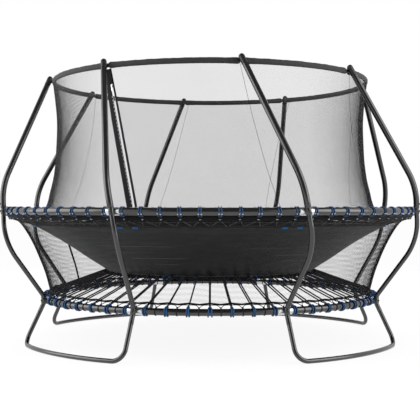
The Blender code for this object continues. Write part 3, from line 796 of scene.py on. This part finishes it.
class TRAMPOLINE_OT_base_frames(MadePiece, bpy.types.Operator):
    """Adds the four base frames that stand on the ground"""

    bl_idname = "trampoline.base_frames"
    bl_label = "Base Frames"

    def make(self, scene):
        tube = scene.trampoline_steel.base_tube
        level = tube * 0.975  # the level run's radius and height, so that it lies on the ground
        above, top = post_path()[-2:]
        up = (above - top).normalized()
        shoulder = top - up * 0.0004
        steps, kept = 20, 3
        arc = [at(BASE_RADIUS, BAY_DEG * i / steps, level) for i in range(steps + 1)]
        other = Matrix.Rotation(radians(BAY_DEG), 3, "Z")
        first = rounded_path([shoulder, arc[0], arc[kept]], [BASE_BEND], 12)[:-1]
        last = [other @ Matrix.Diagonal((-1, 1, 1)) @ place for place in reversed(first)]
        bm = bmesh.new()
        sweep(bm, first + arc[kept:-kept] + last, level, 24)
        for place, way in ((shoulder, up), (other @ shoulder, other @ up)):
            add_bar(bm, place - way * 0.002, place + way * 0.0004, tube + 0.0012, 24, rim=0.0005)
        shape = mesh_from("base_frame", bm)
        for i, angle in enumerate(POLE_ANGLES[::2]):
            piece(f"base_tube_{i + 1}", turned_copy(shape, angle), bpy.data.materials["black_powder_coat"],
                  [f"base_frame_{i + 1}"])


def ring_pieces(name, radius, height, tube, socket_deg, finish, socket_finish, post_tube):
    """A ring's eight tubes, and the eight plated T sockets between them with their post clamps."""
    steps = 24
    bm = bmesh.new()
    sweep(bm, [at(radius, socket_deg * 0.4 + (BAY_DEG - socket_deg * 0.8) * i / steps, height)
               for i in range(steps + 1)], tube, 28)
    tube_shape = mesh_from(name, bm)
    wide = degrees(0.0025 / radius)
    bm = bmesh.new()
    sweep(bm, [at(radius, socket_deg * (2 * i / 8 - 1), height) for i in range(9)], tube + 0.0016, 28, rim=0.0008)
    for side in (-1, 1):
        sweep(bm, [at(radius, side * (socket_deg + wide * (i - 1) * 0.6), height) for i in range(3)],
              tube + 0.0026, 28, rim=0.0007)
    socket_shape = mesh_from(name + "_socket", bm)
    bm = bmesh.new()
    post = -post_at(height).y
    add_bar(bm, at(radius + tube * 0.4, 0, height), at(post, 0, height), 0.0165, 20)
    sweep(bm, [post_at(height + off) for off in (-0.025, 0, 0.025)], post_tube + 0.0027, 24, rim=0.0010)
    add_block(bm, (0.030, post - radius, 0.030), Matrix.Translation(at((radius + post) / 2, 0, height)), 0.004)
    clamp_shape = mesh_from(name + "_clamp", bm)
    for i, angle in enumerate(POLE_ANGLES):
        for shape, kind, coat in ((tube_shape, "tube", finish), (socket_shape, "socket", socket_finish),
                                  (clamp_shape, "clamp", finish)):
            made = piece(f"{name}_{kind}_{i + 1}", turned_copy(shape, angle), coat)
            if kind == "tube":
                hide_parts(f"{name}_tube_{i + 1}")


class TRAMPOLINE_OT_rings(MadePiece, bpy.types.Operator):
    """Adds the two steel rings with their sockets and post clamps"""

    bl_idname = "trampoline.rings"
    bl_label = "Steel Rings"

    def make(self, scene):
        steel = scene.trampoline_steel
        coat, plate = bpy.data.materials["black_powder_coat"], zinc_plate(steel)
        for name, socket_deg in (("upper", 1.95), ("lower", 2.40)):
            radius, height, tube = (getattr(steel, f"{name}_{part}") for part in ("ring", "height", "tube"))
            ring_pieces(f"{name}_ring", radius, height, tube, socket_deg, coat, plate, steel.post_tube)


class TRAMPOLINE_OT_caps(MadePiece, bpy.types.Operator):
    """Adds the pole caps with the arms that hold the top ring"""

    bl_idname = "trampoline.caps"
    bl_label = "Pole Caps"

    def make(self, scene):
        radius = scene.trampoline_steel.pole_tube
        finish = plastic("black_plastic", (0.010, 0.010, 0.011, 1))
        profile = [(0, CAP_LENGTH), (0.30, CAP_LENGTH * 0.995), (0.58, CAP_LENGTH * 0.965),
                   (0.82, CAP_LENGTH * 0.90), (0.95, CAP_LENGTH * 0.83), (1.0, CAP_LENGTH * 0.74),
                   (1.0, 0.010), (1.05, 0.009), (1.06, 0.004), (1.03, 0.0004), (0.9, 0.0004), (0, 0.0004)]
        ring, high = TOP_RING
        for i, way in enumerate(POLE_TOP_ANGLES):
            _, end, along = pole_line(i)
            bm = bmesh.new()
            revolve(bm, [(part * radius, height) for part, height in profile], 28)
            bmesh.ops.transform(bm, matrix=facing(end, along), verts=bm.verts)
            middle = Matrix.Translation(at((ring + POLE_TOP_RADIUS) / 2, way, high)) @ turned_by(way)
            add_block(bm, (0.020, POLE_TOP_RADIUS - ring, 0.026), middle, 0.004, 3)
            off = Vector((cos(radians(way)), sin(radians(way)), 0)) * 0.0105
            add_bar(bm, at(ring, way, high) - off, at(ring, way, high) + off, 0.0165, 24, rim=0.0015)
            piece(f"cap_{i + 1}", bm, finish, [f"pole_cap_{i + 1}"])


class TRAMPOLINE_OT_top_ring(MadePiece, bpy.types.Operator):
    """Adds the top ring's rod and its padded sleeves"""

    bl_idname = "trampoline.top_ring"
    bl_label = "Top Ring"

    def make(self, scene):
        ring, high = TOP_RING
        bm = bmesh.new()
        sweep(bm, [at(ring, 2.5 * i, high) for i in range(144)], 0.0096, 12, closed=True, side=UP)
        piece("ring_rod", bm, bpy.data.materials["black_plastic"], ["top_ring_rod"])
        cloth = scene.trampoline_cloth
        finish = woven("sleeve_cloth", cloth.sleeve, 0.72, 0.0016, 0.0003, sheen=0.12)
        made, steps, gap = [], 64, 0.72
        ends = [*POLE_TOP_ANGLES, POLE_TOP_ANGLES[0] + 360]
        for i in range(BAYS):
            first, last = ends[i] + gap, ends[i + 1] - gap
            path, sizes = [], []
            for step in range(steps + 1):
                share = step / steps
                tuck = 1.14 - min(0.14, 1.4 * min(share, 1 - share)) if 0 < step < steps else 0.86
                ripple = noise.noise(Vector((share * 26, i * 7.3, 0.5)))
                path.append(at(ring + 0.0012 * ripple, first + (last - first) * share, high + 0.0010 * ripple))
                sizes.append((tuck * (0.0232 + 0.0010 * ripple), tuck * (0.0150 + 0.0008 * ripple)))
            bm = bmesh.new()
            sweep(bm, path, 1.0, 20, sizes=sizes, side=UP)
            for vertex in bm.verts:
                dent = noise.noise(Vector((angle_of(vertex.co) * 1.9, vertex.co.z * 60, 3.1 * i)))
                vertex.co.z += 0.0011 * dent
            sleeve = piece(f"ring_sleeve_{i + 1}", bm, finish, edge=0)
            made.append(sleeve)
        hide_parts("top_ring_sleeve")


class TRAMPOLINE_OT_bed(MadePiece, bpy.types.Operator):
    """Adds the jumping bed and the webbing round its edge"""

    bl_idname = "trampoline.bed"
    bl_label = "Jumping Bed"

    def make(self, scene):
        cloth = scene.trampoline_cloth
        low = BED_HEIGHT - 0.003
        bm = bmesh.new()
        revolve(bm, [(0, BED_HEIGHT), (0.45, BED_HEIGHT), (0.70, BED_HEIGHT), (0.87, BED_HEIGHT),
                     (0.919, BED_HEIGHT), (0.9215, BED_HEIGHT - 0.0006), (0.9215, low + 0.0006), (0.919, low),
                     (0.87, low), (0.45, low), (0, low)], 160)
        finish = woven("bed_cloth", cloth.bed, 0.55, 0.0022, 0.0005)
        bed = piece("bed", bm, finish, ["jumping_bed"], body="bed")
        high = low - 0.0004
        thick, lip = 0.0048, 0.024
        bm = bmesh.new()
        revolve(bm, [(0.9315, high), (0.9322, high - 0.001), (0.9328, high - lip + 0.001), (0.9322, high - lip),
                     (0.9302, high - lip), (0.9296, high - lip + 0.001), (0.9288, high - thick),
                     (0.8810, high - thick), (0.8802, high - thick / 2), (0.8810, high)], 160, closed=True)
        tape = webbing("bed_webbing", (0.009, 0.009, 0.010, 1))
        clip = bmesh.new()
        for side in (-1, 1):
            place = Matrix.Translation((side * 0.010, -0.926, high - thick / 2 - 0.0002))
            add_block(clip, (0.0125, 0.022, thick + 0.0022), place, 0.0009)
        places = [turned_by(angle) for angle in loop_angles(scene.trampoline_cords.lower_per_bay)]
        bm.from_mesh(copies("edge_tabs", mesh_from("edge_clip", clip), places))
        piece("bed_webbing", bm, tape, ["bed_edge_webbing"], body="bed")


class TRAMPOLINE_OT_funnel(MadePiece, bpy.types.Operator):
    """Adds the funnel cloth from the hem down to the bed's edge, and the hem's webbing"""

    bl_idname = "trampoline.funnel"
    bl_label = "Funnel"

    def make(self, scene):
        cloth, cords = scene.trampoline_cloth, scene.trampoline_cords
        profile = fine_profile(FUNNEL_PROFILE[::-1], 3)
        upper, lower = cords.upper_per_bay * BAYS, cords.lower_per_bay * BAYS
        turn = POLE_ANGLES[0] / 360

        def point(across, up):
            radius, height = profile_point(profile, up)
            pucker = max(0.0, 1 - up * 5) ** 1.5 * waves(across - turn, lower)
            scallop = max(0.0, (up - 0.80) * 5) ** 2 * waves(across - turn, upper)
            sag = round_noise(across, 3, up * 2.2) * sin(pi * up)
            return at(radius + 0.0030 * pucker - 0.004 * scallop + 0.006 * sag, 360 * across, height - 0.004 * sag)

        finish = Finish("funnel_cloth", cloth.funnel, 0.50, Sheen_Weight=0.20, Sheen_Roughness=0.3,
                        Specular_IOR_Level=0.09)
        fold_and_highlight = fold_and_highlight_lines(finish)
        threads = weave(finish, finish.mapped(8.0, 0.8), 0.0020)
        cloud = finish.grain(5.0, 5.0)
        tone = finish.mix(threads * 0.4 + cloud * 0.6, shaded(cloth.funnel, 0.65), shaded(cloth.funnel, 1.4))
        # the pale colour along the folds is a painted highlight, and the bump below gives them relief
        finish.put("Base Color", finish.mix(fold_and_highlight, tone, (0.10, 0.105, 0.11, 1)))
        finish.put("Roughness", 0.42 + cloud * 0.16)
        finish.bump(threads * 0.3 + finish.grain(16.0, 5.0) * 2.2 + fold_and_highlight * 2.0, 0.0010)
        funnel = piece("funnel", cloth_grid(448, 42, point, closed=True), finish.material,
                       ["funnel_wall"], body="bed", edge=0, blend=((0, 0, 1.015), (0, 0, 0.611)), wall=0.0022)
        bm = bmesh.new()
        revolve(bm, [(1.6405, 1.0360), (1.6415, 1.0340), (1.6405, 1.0320), (1.602, 1.0222), (1.6012, 1.0245),
                     (1.602, 1.0266), (1.620, 1.0315)], 240, closed=True)
        piece("hem_webbing", bm, bpy.data.materials["bed_webbing"], ["funnel_hem_webbing"])


class TRAMPOLINE_OT_upper_loops(MadePiece, bpy.types.Operator):
    """Adds the blue loops round the upper ring, their steel rings and the V-shaped hem cords"""

    bl_idname = "trampoline.upper_loops"
    bl_label = "Upper Loops"

    def make(self, scene):
        cords, steel = scene.trampoline_cords, scene.trampoline_steel
        ring, high, tube, cord = steel.upper_ring, steel.upper_height, steel.upper_tube, cords.loop
        reach = tube + cord + 0.0004
        draw = random.Random(11)
        loops, wires, vees, glint_beads, ties = (bmesh.new() for _ in range(5))
        for angle in loop_angles(cords.upper_per_bay):
            angle += draw.uniform(-0.12, 0.12)
            place = turned_by(angle)
            for side in (-1, 1):
                aside, lean = side * 0.0098, side * draw.uniform(0.000, 0.004)
                eye = Vector((side * 0.003, -(ring - 0.018), high - tube - 0.008))
                path = [eye, *tube_loop(ring, high, reach, 262, aside, lean, 344), eye]
                sweep(loops, [place @ spot for spot in path], cord, 6)
                # a small pale ball on each strand at the front of the ring: a painted glint
                glint_spot = place @ round_tube(ring, high, reach, draw.uniform(-34, -24), aside, lean)
                add_ball(glint_beads, Matrix.Translation(glint_spot) @ place @ Matrix.Diagonal((1, 1, 1.25, 1)), cord + 0.0006)
            centre = Vector((0, -(ring - 0.024), high - tube - 0.020))
            turns = [2 * pi * k / 14 for k in range(14)]
            hoop = [place @ (centre + Vector((0.0075 * cos(turn), 0, 0.0095 * sin(turn)))) for turn in turns]
            sweep(wires, hoop, 0.0016, 6, closed=True, side=place.to_3x3() @ Vector((0, 1, 0)))
            low = place @ (centre - UP * 0.008)
            for side in (-1, 1):
                hem = at(HEM[0] + 0.002, angle + side * 1.9, HEM[1] + 0.003)
                under = at(HEM[0] - 0.014, angle + side * 2.15, HEM[1] - 0.001)
                sweep(vees, smooth_line([low, low.lerp(hem, 0.5) - UP * 0.003, hem, under], 3), 0.0030, 6)
        add_ties(ties, 1.622, 1.0165, 2.3, 0.023)
        # copies of the loops' one blue: a brighter one for the ties, painted light against the shade they hang in,
        # and a darker one for the upper loops, painted shade
        blue = braid("blue_cord", shaded(cords.blue, 1.8), (0.08, 0.32, 0.70, 1), 0.008)
        darker_shaded_blue = braid("navy_cord", shaded(cords.blue, 0.38), shaded(cords.blue, 2.2), 0.008)
        dark = braid("hem_cord", shaded(cords.black, 0.4), shaded(cords.black, 3.0), 0.006)
        chrome = metal("chrome_wire", (0.80, 0.80, 0.82, 1), 0.14)
        piece("ring_loops", loops, darker_shaded_blue, ["upper_ring_lacing"], edge=0)
        piece("hem_ties", ties, blue, edge=0)
        piece("ring_beads", glint_beads, plastic("grey_bead", (0.55, 0.55, 0.56, 1), 0.25))
        piece("ring_hooks", wires, chrome, edge=0)
        piece("hem_cords", vees, dark, edge=0)


class TRAMPOLINE_OT_elastic_cords(MadePiece, bpy.types.Operator):
    """Adds the elastic rods between the bed's edge and the lower ring, and their blue loops"""

    bl_idname = "trampoline.elastic_cords"
    bl_label = "Elastic Cords"

    def make(self, scene):
        cords, steel = scene.trampoline_cords, scene.trampoline_steel
        ring, high, tube, cord = steel.lower_ring, steel.lower_height, steel.lower_tube, cords.lower_loop
        draw = random.Random(5)
        rods, loops, ties = (bmesh.new() for _ in range(3))
        knot = Vector((0, -(ring - 0.030), high + tube + 0.012))
        bed_end = Vector((0, -0.9395, BED_HEIGHT - 0.0058))
        fall = (bed_end - knot).normalized()
        off = Vector((0.0030, -fall.z * 0.0085, fall.y * 0.0085))  # from a pair's middle to one of its rods
        level = Vector((1, 0, 0))
        tab = axes_at(bed_end - fall * 0.019, level, fall, level.cross(fall))
        for place in map(turned_by, loop_angles(cords.lower_per_bay)):
            half = draw.uniform(0.0062, 0.0135)
            spread = Vector((draw.uniform(-0.002, 0.002), 0, 0))
            spots = [(bed_end.lerp(knot, share) + spread * wide, off * part)
                     for share, wide, part in ((0, 0, 0.75), (0.06, 0, 1), (0.88, 1, 1), (0.97, 0, 0.7))]
            path = [*(middle - out for middle, out in spots), knot,
                    *(middle + out for middle, out in reversed(spots))]
            sweep(rods, [place @ spot for spot in path], cords.elastic, 8, side=UP)
            add_block(rods, (0.040, 0.040, 0.0044), place @ tab, 0.0014)
            for side in (-1, 1):
                path = tube_loop(ring, high, tube + cord + 0.0004, 135, side * half, side * 0.0020)
                sweep(loops, [place @ spot for spot in path], cord, 6)
            size = draw.uniform(0.0105, 0.0130)
            ball = place @ Matrix.Translation((0, -(ring - 0.021), high + tube + 0.006))
            ball = ball @ Matrix.Rotation(draw.uniform(-0.5, 0.5), 4, "Y")
            for vertex in add_ball(loops, ball @ Matrix.Diagonal((size * 1.15, size, size * 1.05, 1))):
                vertex.co += vertex.co.normalized() * 0.0012 * noise.noise(vertex.co * 160)
        add_ties(ties, 0.9390, BED_HEIGHT - 0.006, 2.6, 0.024)
        # a darker copy of the loops' blue for the lower loops: painted shade
        shaded_blue = braid("deep_blue_cord", shaded(cords.blue, 0.55), shaded(cords.blue, 1.6), 0.008)
        # the edge ties take the brighter copy of the blue: painted light
        piece("edge_ties", ties, bpy.data.materials["blue_cord"], body="bed", edge=0)
        piece("elastic_rods", rods, bpy.data.materials["black_cord"], ["elastic_cords"], body="bed",
              edge=0, blend=((0, 0, 0.445), (0, 0, 0.601)))
        piece("lower_loops", loops, shaded_blue, edge=0)


class TRAMPOLINE_OT_skirt(MadePiece, bpy.types.Operator):
    """Adds the net skirt between the rings, its tapes, and the wavy cord along its hem"""

    bl_idname = "trampoline.skirt"
    bl_label = "Net Skirt"

    def make(self, scene):
        cloth, cords, steel = scene.trampoline_cloth, scene.trampoline_cords, scene.trampoline_steel
        profile = fine_profile(SKIRT_PROFILE[::-1], 4)
        count, upper = cords.lower_per_bay * BAYS, cords.upper_per_bay * BAYS
        turn = POLE_ANGLES[0] / 360
        pleats = 1680

        def point(across, up, pleat=0.0):
            radius, height = profile_point(profile, up)
            sag = round_noise(across, 4, up * 3)
            hang = max(0.0, 1 - up * 4) * waves(across - turn, count, 0.5)
            return at(radius + 0.004 * sag * sin(pi * up) + pleat, 360 * across, height + 0.005 * hang)

        def pleated(across, up):
            return point(across, up, 0.0024 * (-1) ** round(across * pleats))

        def foot(across, share):
            spot = point(across, 0.022 * share)
            return spot + Vector((spot.x, spot.y, 0)).normalized() * 0.0024

        def band(across, share):
            scallop = 0.004 * (1 - share) * waves(across - turn, upper)
            return at(1.797 + 0.022 * share, 360 * across, 1.071 + 0.0385 * share + scallop)

        def seam(across, share):
            return point((SEAM_ANGLE + 1.1 * (across - 0.5)) / 360, share)

        skirt = piece("skirt", cloth_grid(pleats, 16, pleated, closed=True),
                      netting("skirt_net", cloth, (10.1, 0.75), 0.05), ["skirt_net"], edge=0)
        cord, step = bmesh.new(), 360 / count
        radius, height = 1.441, 0.4275
        ring, high = steel.lower_ring - 0.0115, steel.lower_height + 0.0300
        points, knots = [], []
        for angle in loop_angles(cords.lower_per_bay):
            points += [at(radius, angle - 2.2, height), at(radius, angle, height + 0.002),
                       at(radius, angle + 2.2, height), at(ring, angle + step / 2, high + 0.002)]
            knots.append(turned_by(angle + step / 2))
        sweep(cord, smooth_line(points + points[:1], 3)[:-1], 0.0030, 6, closed=True, side=UP)
        tie = bmesh.new()
        add_ball(tie, Matrix.Translation((0, -ring, high + 0.003)) @ Matrix.Diagonal((0.0085, 0.0070, 0.0060, 1)))
        for side in (-1, 1):
            sweep(tie, tube_loop(steel.lower_ring, steel.lower_height, steel.lower_tube + 0.0026, 110,
                                 side * 0.0022), 0.0020, 6)
        cord.from_mesh(copies("ties", mesh_from("tie", tie), knots))
        piece("skirt_cord", cord, bpy.data.materials["black_cord"], ["skirt_lacing"], edge=0)
        tape = webbing("black_tape", (0.004, 0.004, 0.0045, 1))
        for name, sheet in (("skirt_foot_tape", cloth_grid(224, 3, foot, closed=True)),
                            ("skirt_top_band", cloth_grid(640, 3, band, closed=True)),
                            ("skirt_seam", cloth_grid(2, 48, seam))):
            piece(name, sheet, tape, edge=0, wall=0.0012)


def net_point(share, offset, height, stand=0.0):
    """A point of the net wall, which runs once round from the entrance's right edge to its left one."""
    turns = share * BAYS
    door = door_line(height)
    near = max(0, 1 - min(turns, BAYS - turns))
    near = near * near * (3 - 2 * near)
    angle = seam_angle(turns, height) + (angle_of(door) - seam_angle(0, height)) * near
    radius = profile_radius(FINE_NET, height)
    radius += (door.xy.length - radius) * near
    offset += (SLIT_HALF + 0.012) * max(0, 1 - turns) - (SLIT_HALF + 0.036) * max(0, turns - BAYS + 1)
    return at(radius + stand, angle + degrees(offset / radius), height)


FINE_NET = fine_profile(NET_PROFILE, 4)


class TRAMPOLINE_OT_net(MadePiece, bpy.types.Operator):
    """Adds the net wall's eight panels and the tapes over their seams and hems"""

    bl_idname = "trampoline.net"
    bl_label = "Net Wall"

    def make(self, scene):
        cloth = scene.trampoline_cloth
        finish = netting("net_cloth", cloth, (1.14, 1.30))
        top, foot = NET_PROFILE[0][1] + 0.008, NET_PROFILE[-1][1]
        span, pleats = top - foot, 190
        for i in range(BAYS):
            def point(across, up, i=i):
                wrinkle = noise.noise(Vector((across * 5, up * 9, 2.7 * i)))
                pleat = 0.0033 * (-1) ** round(across * pleats)
                return net_point((i + across) / BAYS, 0, foot + span * up,
                                 0.0030 * wrinkle * sin(pi * across) * sin(pi * up) + pleat)
            panel = piece(f"net_panel_{i + 1}", cloth_grid(pleats, 28, point), finish, edge=0)
        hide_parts("enclosure_net")
        tape = bpy.data.materials["bed_webbing"]
        for i in range(1, BAYS):
            def seam(across, up, i=i):
                return net_point(i / BAYS, 0.0026 * (across - 0.5), foot + span * up, 0.0030)
            piece(f"net_seam_{i}", cloth_grid(2, 40, seam), tape, edge=0, wall=0.0010)

        def hem(across, up):
            return net_point(across, 0, foot + 0.016 * up, 0.0024)

        piece("net_foot_hem", cloth_grid(224, 2, hem), tape, edge=0, wall=0.0012)


class TRAMPOLINE_OT_door(MadePiece, bpy.types.Operator):
    """Adds the entrance: zip band, binding, teeth and the patch at its head"""

    bl_idname = "trampoline.door"
    bl_label = "Entrance"

    def make(self, scene):
        tape = webbing("door_webbing", (0.012, 0.012, 0.013, 1), 0.0028, mapped=True)
        top, foot = NET_PROFILE[0][1], NET_PROFILE[-1][1]
        span = top - foot
        for name, node, width, side, padding in (("zip_band", "door_zip_band", 0.052, -1, 0.0030),
                                                 ("slit_binding", "door_binding", 0.021, 1, 0.0016)):
            def point(across, up, width=width, side=side):
                height = foot + span * up
                level, out = door_axes(height)
                width *= 0.78 + 0.22 * min(1, 3 * (1 - up))
                ripple = 0.0012 * noise.noise(Vector((up * 16, side, 0.3))) + 0.0006 * sin(pi * across)
                return door_line(height) + level * (SLIT_HALF + width * across) * side + out * ripple
            bm = cloth_grid(6, 72, point)
            uv = bm.loops.layers.uv.active
            for face in bm.faces:
                for loop in face.loops:
                    loop[uv].uv = (loop[uv].uv.y * span, loop[uv].uv.x * width)
            piece(name, bm, tape, [node], edge=0, wall=padding)
        head, across, inward, up = zip_axes()
        pitch = 0.0046
        tooth = bmesh.new()
        add_block(tooth, (0.0042, 0.0020, 0.0026), Matrix.Identity(4), 0.0005, 1)
        places = []
        lowest = DOOR_FOOT[2] + 0.002
        for i in range(int((SLIT_HEAD_HEIGHT - 0.01 - lowest) / pitch / up.z)):
            height = lowest + i * pitch * up.z
            level, out = door_axes(height)
            for side, rise in ((-1, height), (1, height + pitch / 2)):
                place = door_line(rise) + level * side * (SLIT_HALF - 0.0012)
                places.append(axes_at(place, level, -out, level.cross(-out)))
        nylon = plastic("zip_nylon", (0.74, 0.74, 0.76, 1), 0.35)
        piece("zip_teeth", copies("zip_teeth", mesh_from("tooth", tooth), places), nylon)
        draw = random.Random(8)
        bm = bmesh.new()
        height = lowest + 0.02
        while height < SLIT_HEAD_HEIGHT - 0.06:
            level, out = door_axes(height)
            place = door_line(height) - level * (SLIT_HALF + 0.0048) + out * 0.0024
            add_block(bm, (0.0058, draw.uniform(0.009, 0.014), 0.0014),
                      axes_at(place, level, up, level.cross(up)), 0.0005, 1)
            height += draw.uniform(0.022, 0.034)
        piece("band_stitches", bm, nylon, edge=0)
        start = head + up * 0.015
        length = (door_line(top - 0.004) - start).length
        bm = bmesh.new()
        bmesh.ops.create_cube(bm, size=1, matrix=Matrix.Diagonal((1, 0.003, length, 1)))
        bmesh.ops.subdivide_edges(bm, edges=[e for e in bm.edges if abs((e.verts[0].co - e.verts[1].co).z) > 0.01],
                                  cuts=4, use_grid_fill=True)
        for vertex in bm.verts:
            vertex.co.x *= 0.034 + 0.008 * (vertex.co.z / length + 0.5)
        bevelled(bm, bm.edges, 0.0004, 1)
        where = axes_at(start + up * length / 2 - inward * 0.0042, across, inward, up)
        bmesh.ops.transform(bm, matrix=where, verts=bm.verts)
        piece("head_patch", bm, bpy.data.materials["black_tape"], ["door_head_patch"])


class TRAMPOLINE_OT_zip(MadePiece, bpy.types.Operator):
    """Adds the zip's slider and the pull tab that hangs on it"""

    bl_idname = "trampoline.zip"
    bl_label = "Zip Slider"

    def make(self, scene):
        head, across, inward, up = zip_axes()
        where = axes_at(head, across, inward, up)
        nickel = metal("nickel", (0.62, 0.62, 0.63, 1), 0.24)
        bm = bmesh.new()
        for side in (-1, 1):
            add_block(bm, (0.014, 0.0022, 0.022), Matrix.Translation((0, side * 0.0036, 0)), 0.0009)
        add_block(bm, (0.0040, 0.0050, 0.0080), Matrix.Translation((0, 0, 0.0060)), 0.0006)
        bail = [Vector((0, -0.0036, 0.0085)), Vector((0, -0.0060, 0.0075)), Vector((0, -0.0068, 0.0015)),
                Vector((0, -0.0060, -0.0045)), Vector((0, -0.0036, -0.0055))]
        sweep(bm, smooth_line(bail, 4), 0.0009, 8)
        bmesh.ops.transform(bm, matrix=where, verts=bm.verts)
        piece("slider", bm, nickel, ["zip_slider"], body="zip_slider")
        bm = bmesh.new()
        pull = Matrix.Translation((0, -0.0065, 0.0015 - 0.046 / 2))
        add_block(bm, (0.010, 0.0018, 0.046), pull, 0.0006)
        add_block(bm, (0.0076, 0.0022, 0.020), pull @ Matrix.Translation((0, 0, -0.010)), 0.0005)
        for side in (-1, 1):
            add_block(bm, (0.0011, 0.0024, 0.016), pull @ Matrix.Translation((side * 0.0040, 0, 0.012)), 0.0004)
        bmesh.ops.transform(bm, matrix=where, verts=bm.verts)
        piece("pull_tab", bm, nickel, ["zip_pull"], body="zip_pull")


class TRAMPOLINE_OT_stage(MadePiece, bpy.types.Operator):
    """Adds the pale floor, the soft lights and the camera"""

    bl_idname = "trampoline.stage"
    bl_label = "Stage"

    def make(self, scene):
        settings = scene.trampoline_stage
        scene.view_settings.view_transform = "Standard"
        bm = bmesh.new()
        bmesh.ops.create_grid(bm, x_segments=1, y_segments=1, size=120)
        self.add_prop(scene, "floor", bm, self.floor_finish(settings))
        bm = bmesh.new()
        for middle, turn, deep in (((0, -13, 5), pi / 2, 10), ((0, 4, 10), 0, 34)):
            where = Matrix.Translation(middle) @ Matrix.Rotation(turn, 4, "X") @ Matrix.Diagonal((15, deep, 1, 1))
            bmesh.ops.create_grid(bm, x_segments=1, y_segments=1, size=0.5, matrix=where)
        # a grey cloth behind the camera and overhead, which only glossy tubes mirror
        grey = Finish("grey_flag", (0.22, 0.22, 0.22, 1), 1.0, Specular_IOR_Level=0)
        flag = self.add_prop(scene, "flag", bm, grey.material)
        flag.visible_camera = flag.visible_diffuse = flag.visible_shadow = False
        self.light_world(scene)
        power = settings.side_power
        for name, azimuth, watts, wide, tall, height in (("left_light", -78, power, 6.4, 5.6, 3.3),
                                                         ("right_light", 64, power * 0.8, 4.4, 5.6, 3.3),
                                                         ("back_light", 180, power * 0.4, 4.0, 4.8, 5.0)):
            lamp = bpy.data.lights.new(name, "AREA")
            lamp.shape = "RECTANGLE"
            lamp.size, lamp.size_y = wide, tall
            lamp.energy = watts
            made = bpy.data.objects.new(name, lamp)
            made.location = at(7.0, azimuth, height)
            made.rotation_euler = (UP - made.location).to_track_quat("-Z", "Y").to_euler()
            scene.collection.objects.link(made)
        camera = bpy.data.cameras.new("camera")
        camera.lens = settings.lens
        camera.sensor_width = 36
        camera.clip_end = 400
        eye = bpy.data.objects.new("camera", camera)
        eye.location = (0, -settings.distance, 1.166)
        eye.rotation_euler = (radians(90 - 0.12), 0, 0)
        scene.collection.objects.link(eye)
        scene.camera = eye

    def add_prop(self, scene, name, bm, material):
        made = bpy.data.objects.new(name, mesh_from(name, bm))
        scene.collection.objects.link(made)
        made.data.materials.append(material)
        return made

    def floor_finish(self, settings):
        """A pale floor that glows evenly for what sees it, and lights the rest as a matt one."""
        finish = Finish("pale_floor", settings.floor, 0.9)
        matt = finish.node("ShaderNodeBsdfDiffuse", None, {"Color": settings.floor})
        shown = finish.node("ShaderNodeBsdfDiffuse", None, {"Color": (0.16, 0.16, 0.16, 1)})
        glow = finish.node("ShaderNodeEmission", None, {"Color": (1, 1, 1, 1), "Strength": 0.88})
        both = finish.node("ShaderNodeAddShader", None, {0: shown, 1: glow})
        mixed = finish.node("ShaderNodeMixShader", None, {0: finish.seen(), 1: matt, 2: both})
        finish.tree.nodes.remove(finish.shader)
        finish.put(finish.tree.nodes["Material Output"].inputs["Surface"], mixed)
        return finish.material

    def light_world(self, scene):
        scene.world = bpy.data.worlds.new("studio")
        scene.world.use_nodes = True
        sky = Nodes(scene.world.node_tree, "Background")
        sky.put("Color", (1, 1, 1, 1))
        sky.put("Strength", sky.node("ShaderNodeMapRange", None,
                                     {"Value": sky.seen(), "To Min": 0.62, "To Max": 1.0}))


OPERATORS = [TRAMPOLINE_OT_stage, TRAMPOLINE_OT_poles, TRAMPOLINE_OT_posts, TRAMPOLINE_OT_base_frames,
             TRAMPOLINE_OT_rings, TRAMPOLINE_OT_caps, TRAMPOLINE_OT_top_ring, TRAMPOLINE_OT_bed,
             TRAMPOLINE_OT_funnel, TRAMPOLINE_OT_upper_loops, TRAMPOLINE_OT_elastic_cords, TRAMPOLINE_OT_skirt,
             TRAMPOLINE_OT_net, TRAMPOLINE_OT_door, TRAMPOLINE_OT_zip]
SETTINGS = {"trampoline_steel": SteelSettings, "trampoline_cloth": ClothSettings,
            "trampoline_cords": CordSettings, "trampoline_stage": StageSettings}


class TRAMPOLINE_PT_pieces(bpy.types.Panel):
    """Sizes, colours and pieces of the trampoline"""

    bl_label = "Trampoline"
    bl_space_type = "VIEW_3D"
    bl_region_type = "UI"
    bl_category = "Trampoline"

    def draw(self, context):
        for name, kind in SETTINGS.items():
            box = self.layout.box()
            box.label(text=kind.__doc__)
            for key in kind.__annotations__:
                box.prop(getattr(context.scene, name), key)
        for made in OPERATORS:
            self.layout.operator(made.bl_idname)


def register():
    for kind in [*SETTINGS.values(), *OPERATORS, TRAMPOLINE_PT_pieces]:
        bpy.utils.register_class(kind)
    for name, kind in SETTINGS.items():
        setattr(bpy.types.Scene, name, bpy.props.PointerProperty(type=kind))


def unregister():
    for name in SETTINGS:
        delattr(bpy.types.Scene, name)
    for kind in [TRAMPOLINE_PT_pieces, *reversed(OPERATORS), *reversed(SETTINGS.values())]:
        bpy.utils.unregister_class(kind)


def main():
    register()
    for made in OPERATORS:
        family, name = made.bl_idname.split(".")
        getattr(getattr(bpy.ops, family), name)()


if __name__ == "__main__":
    main()
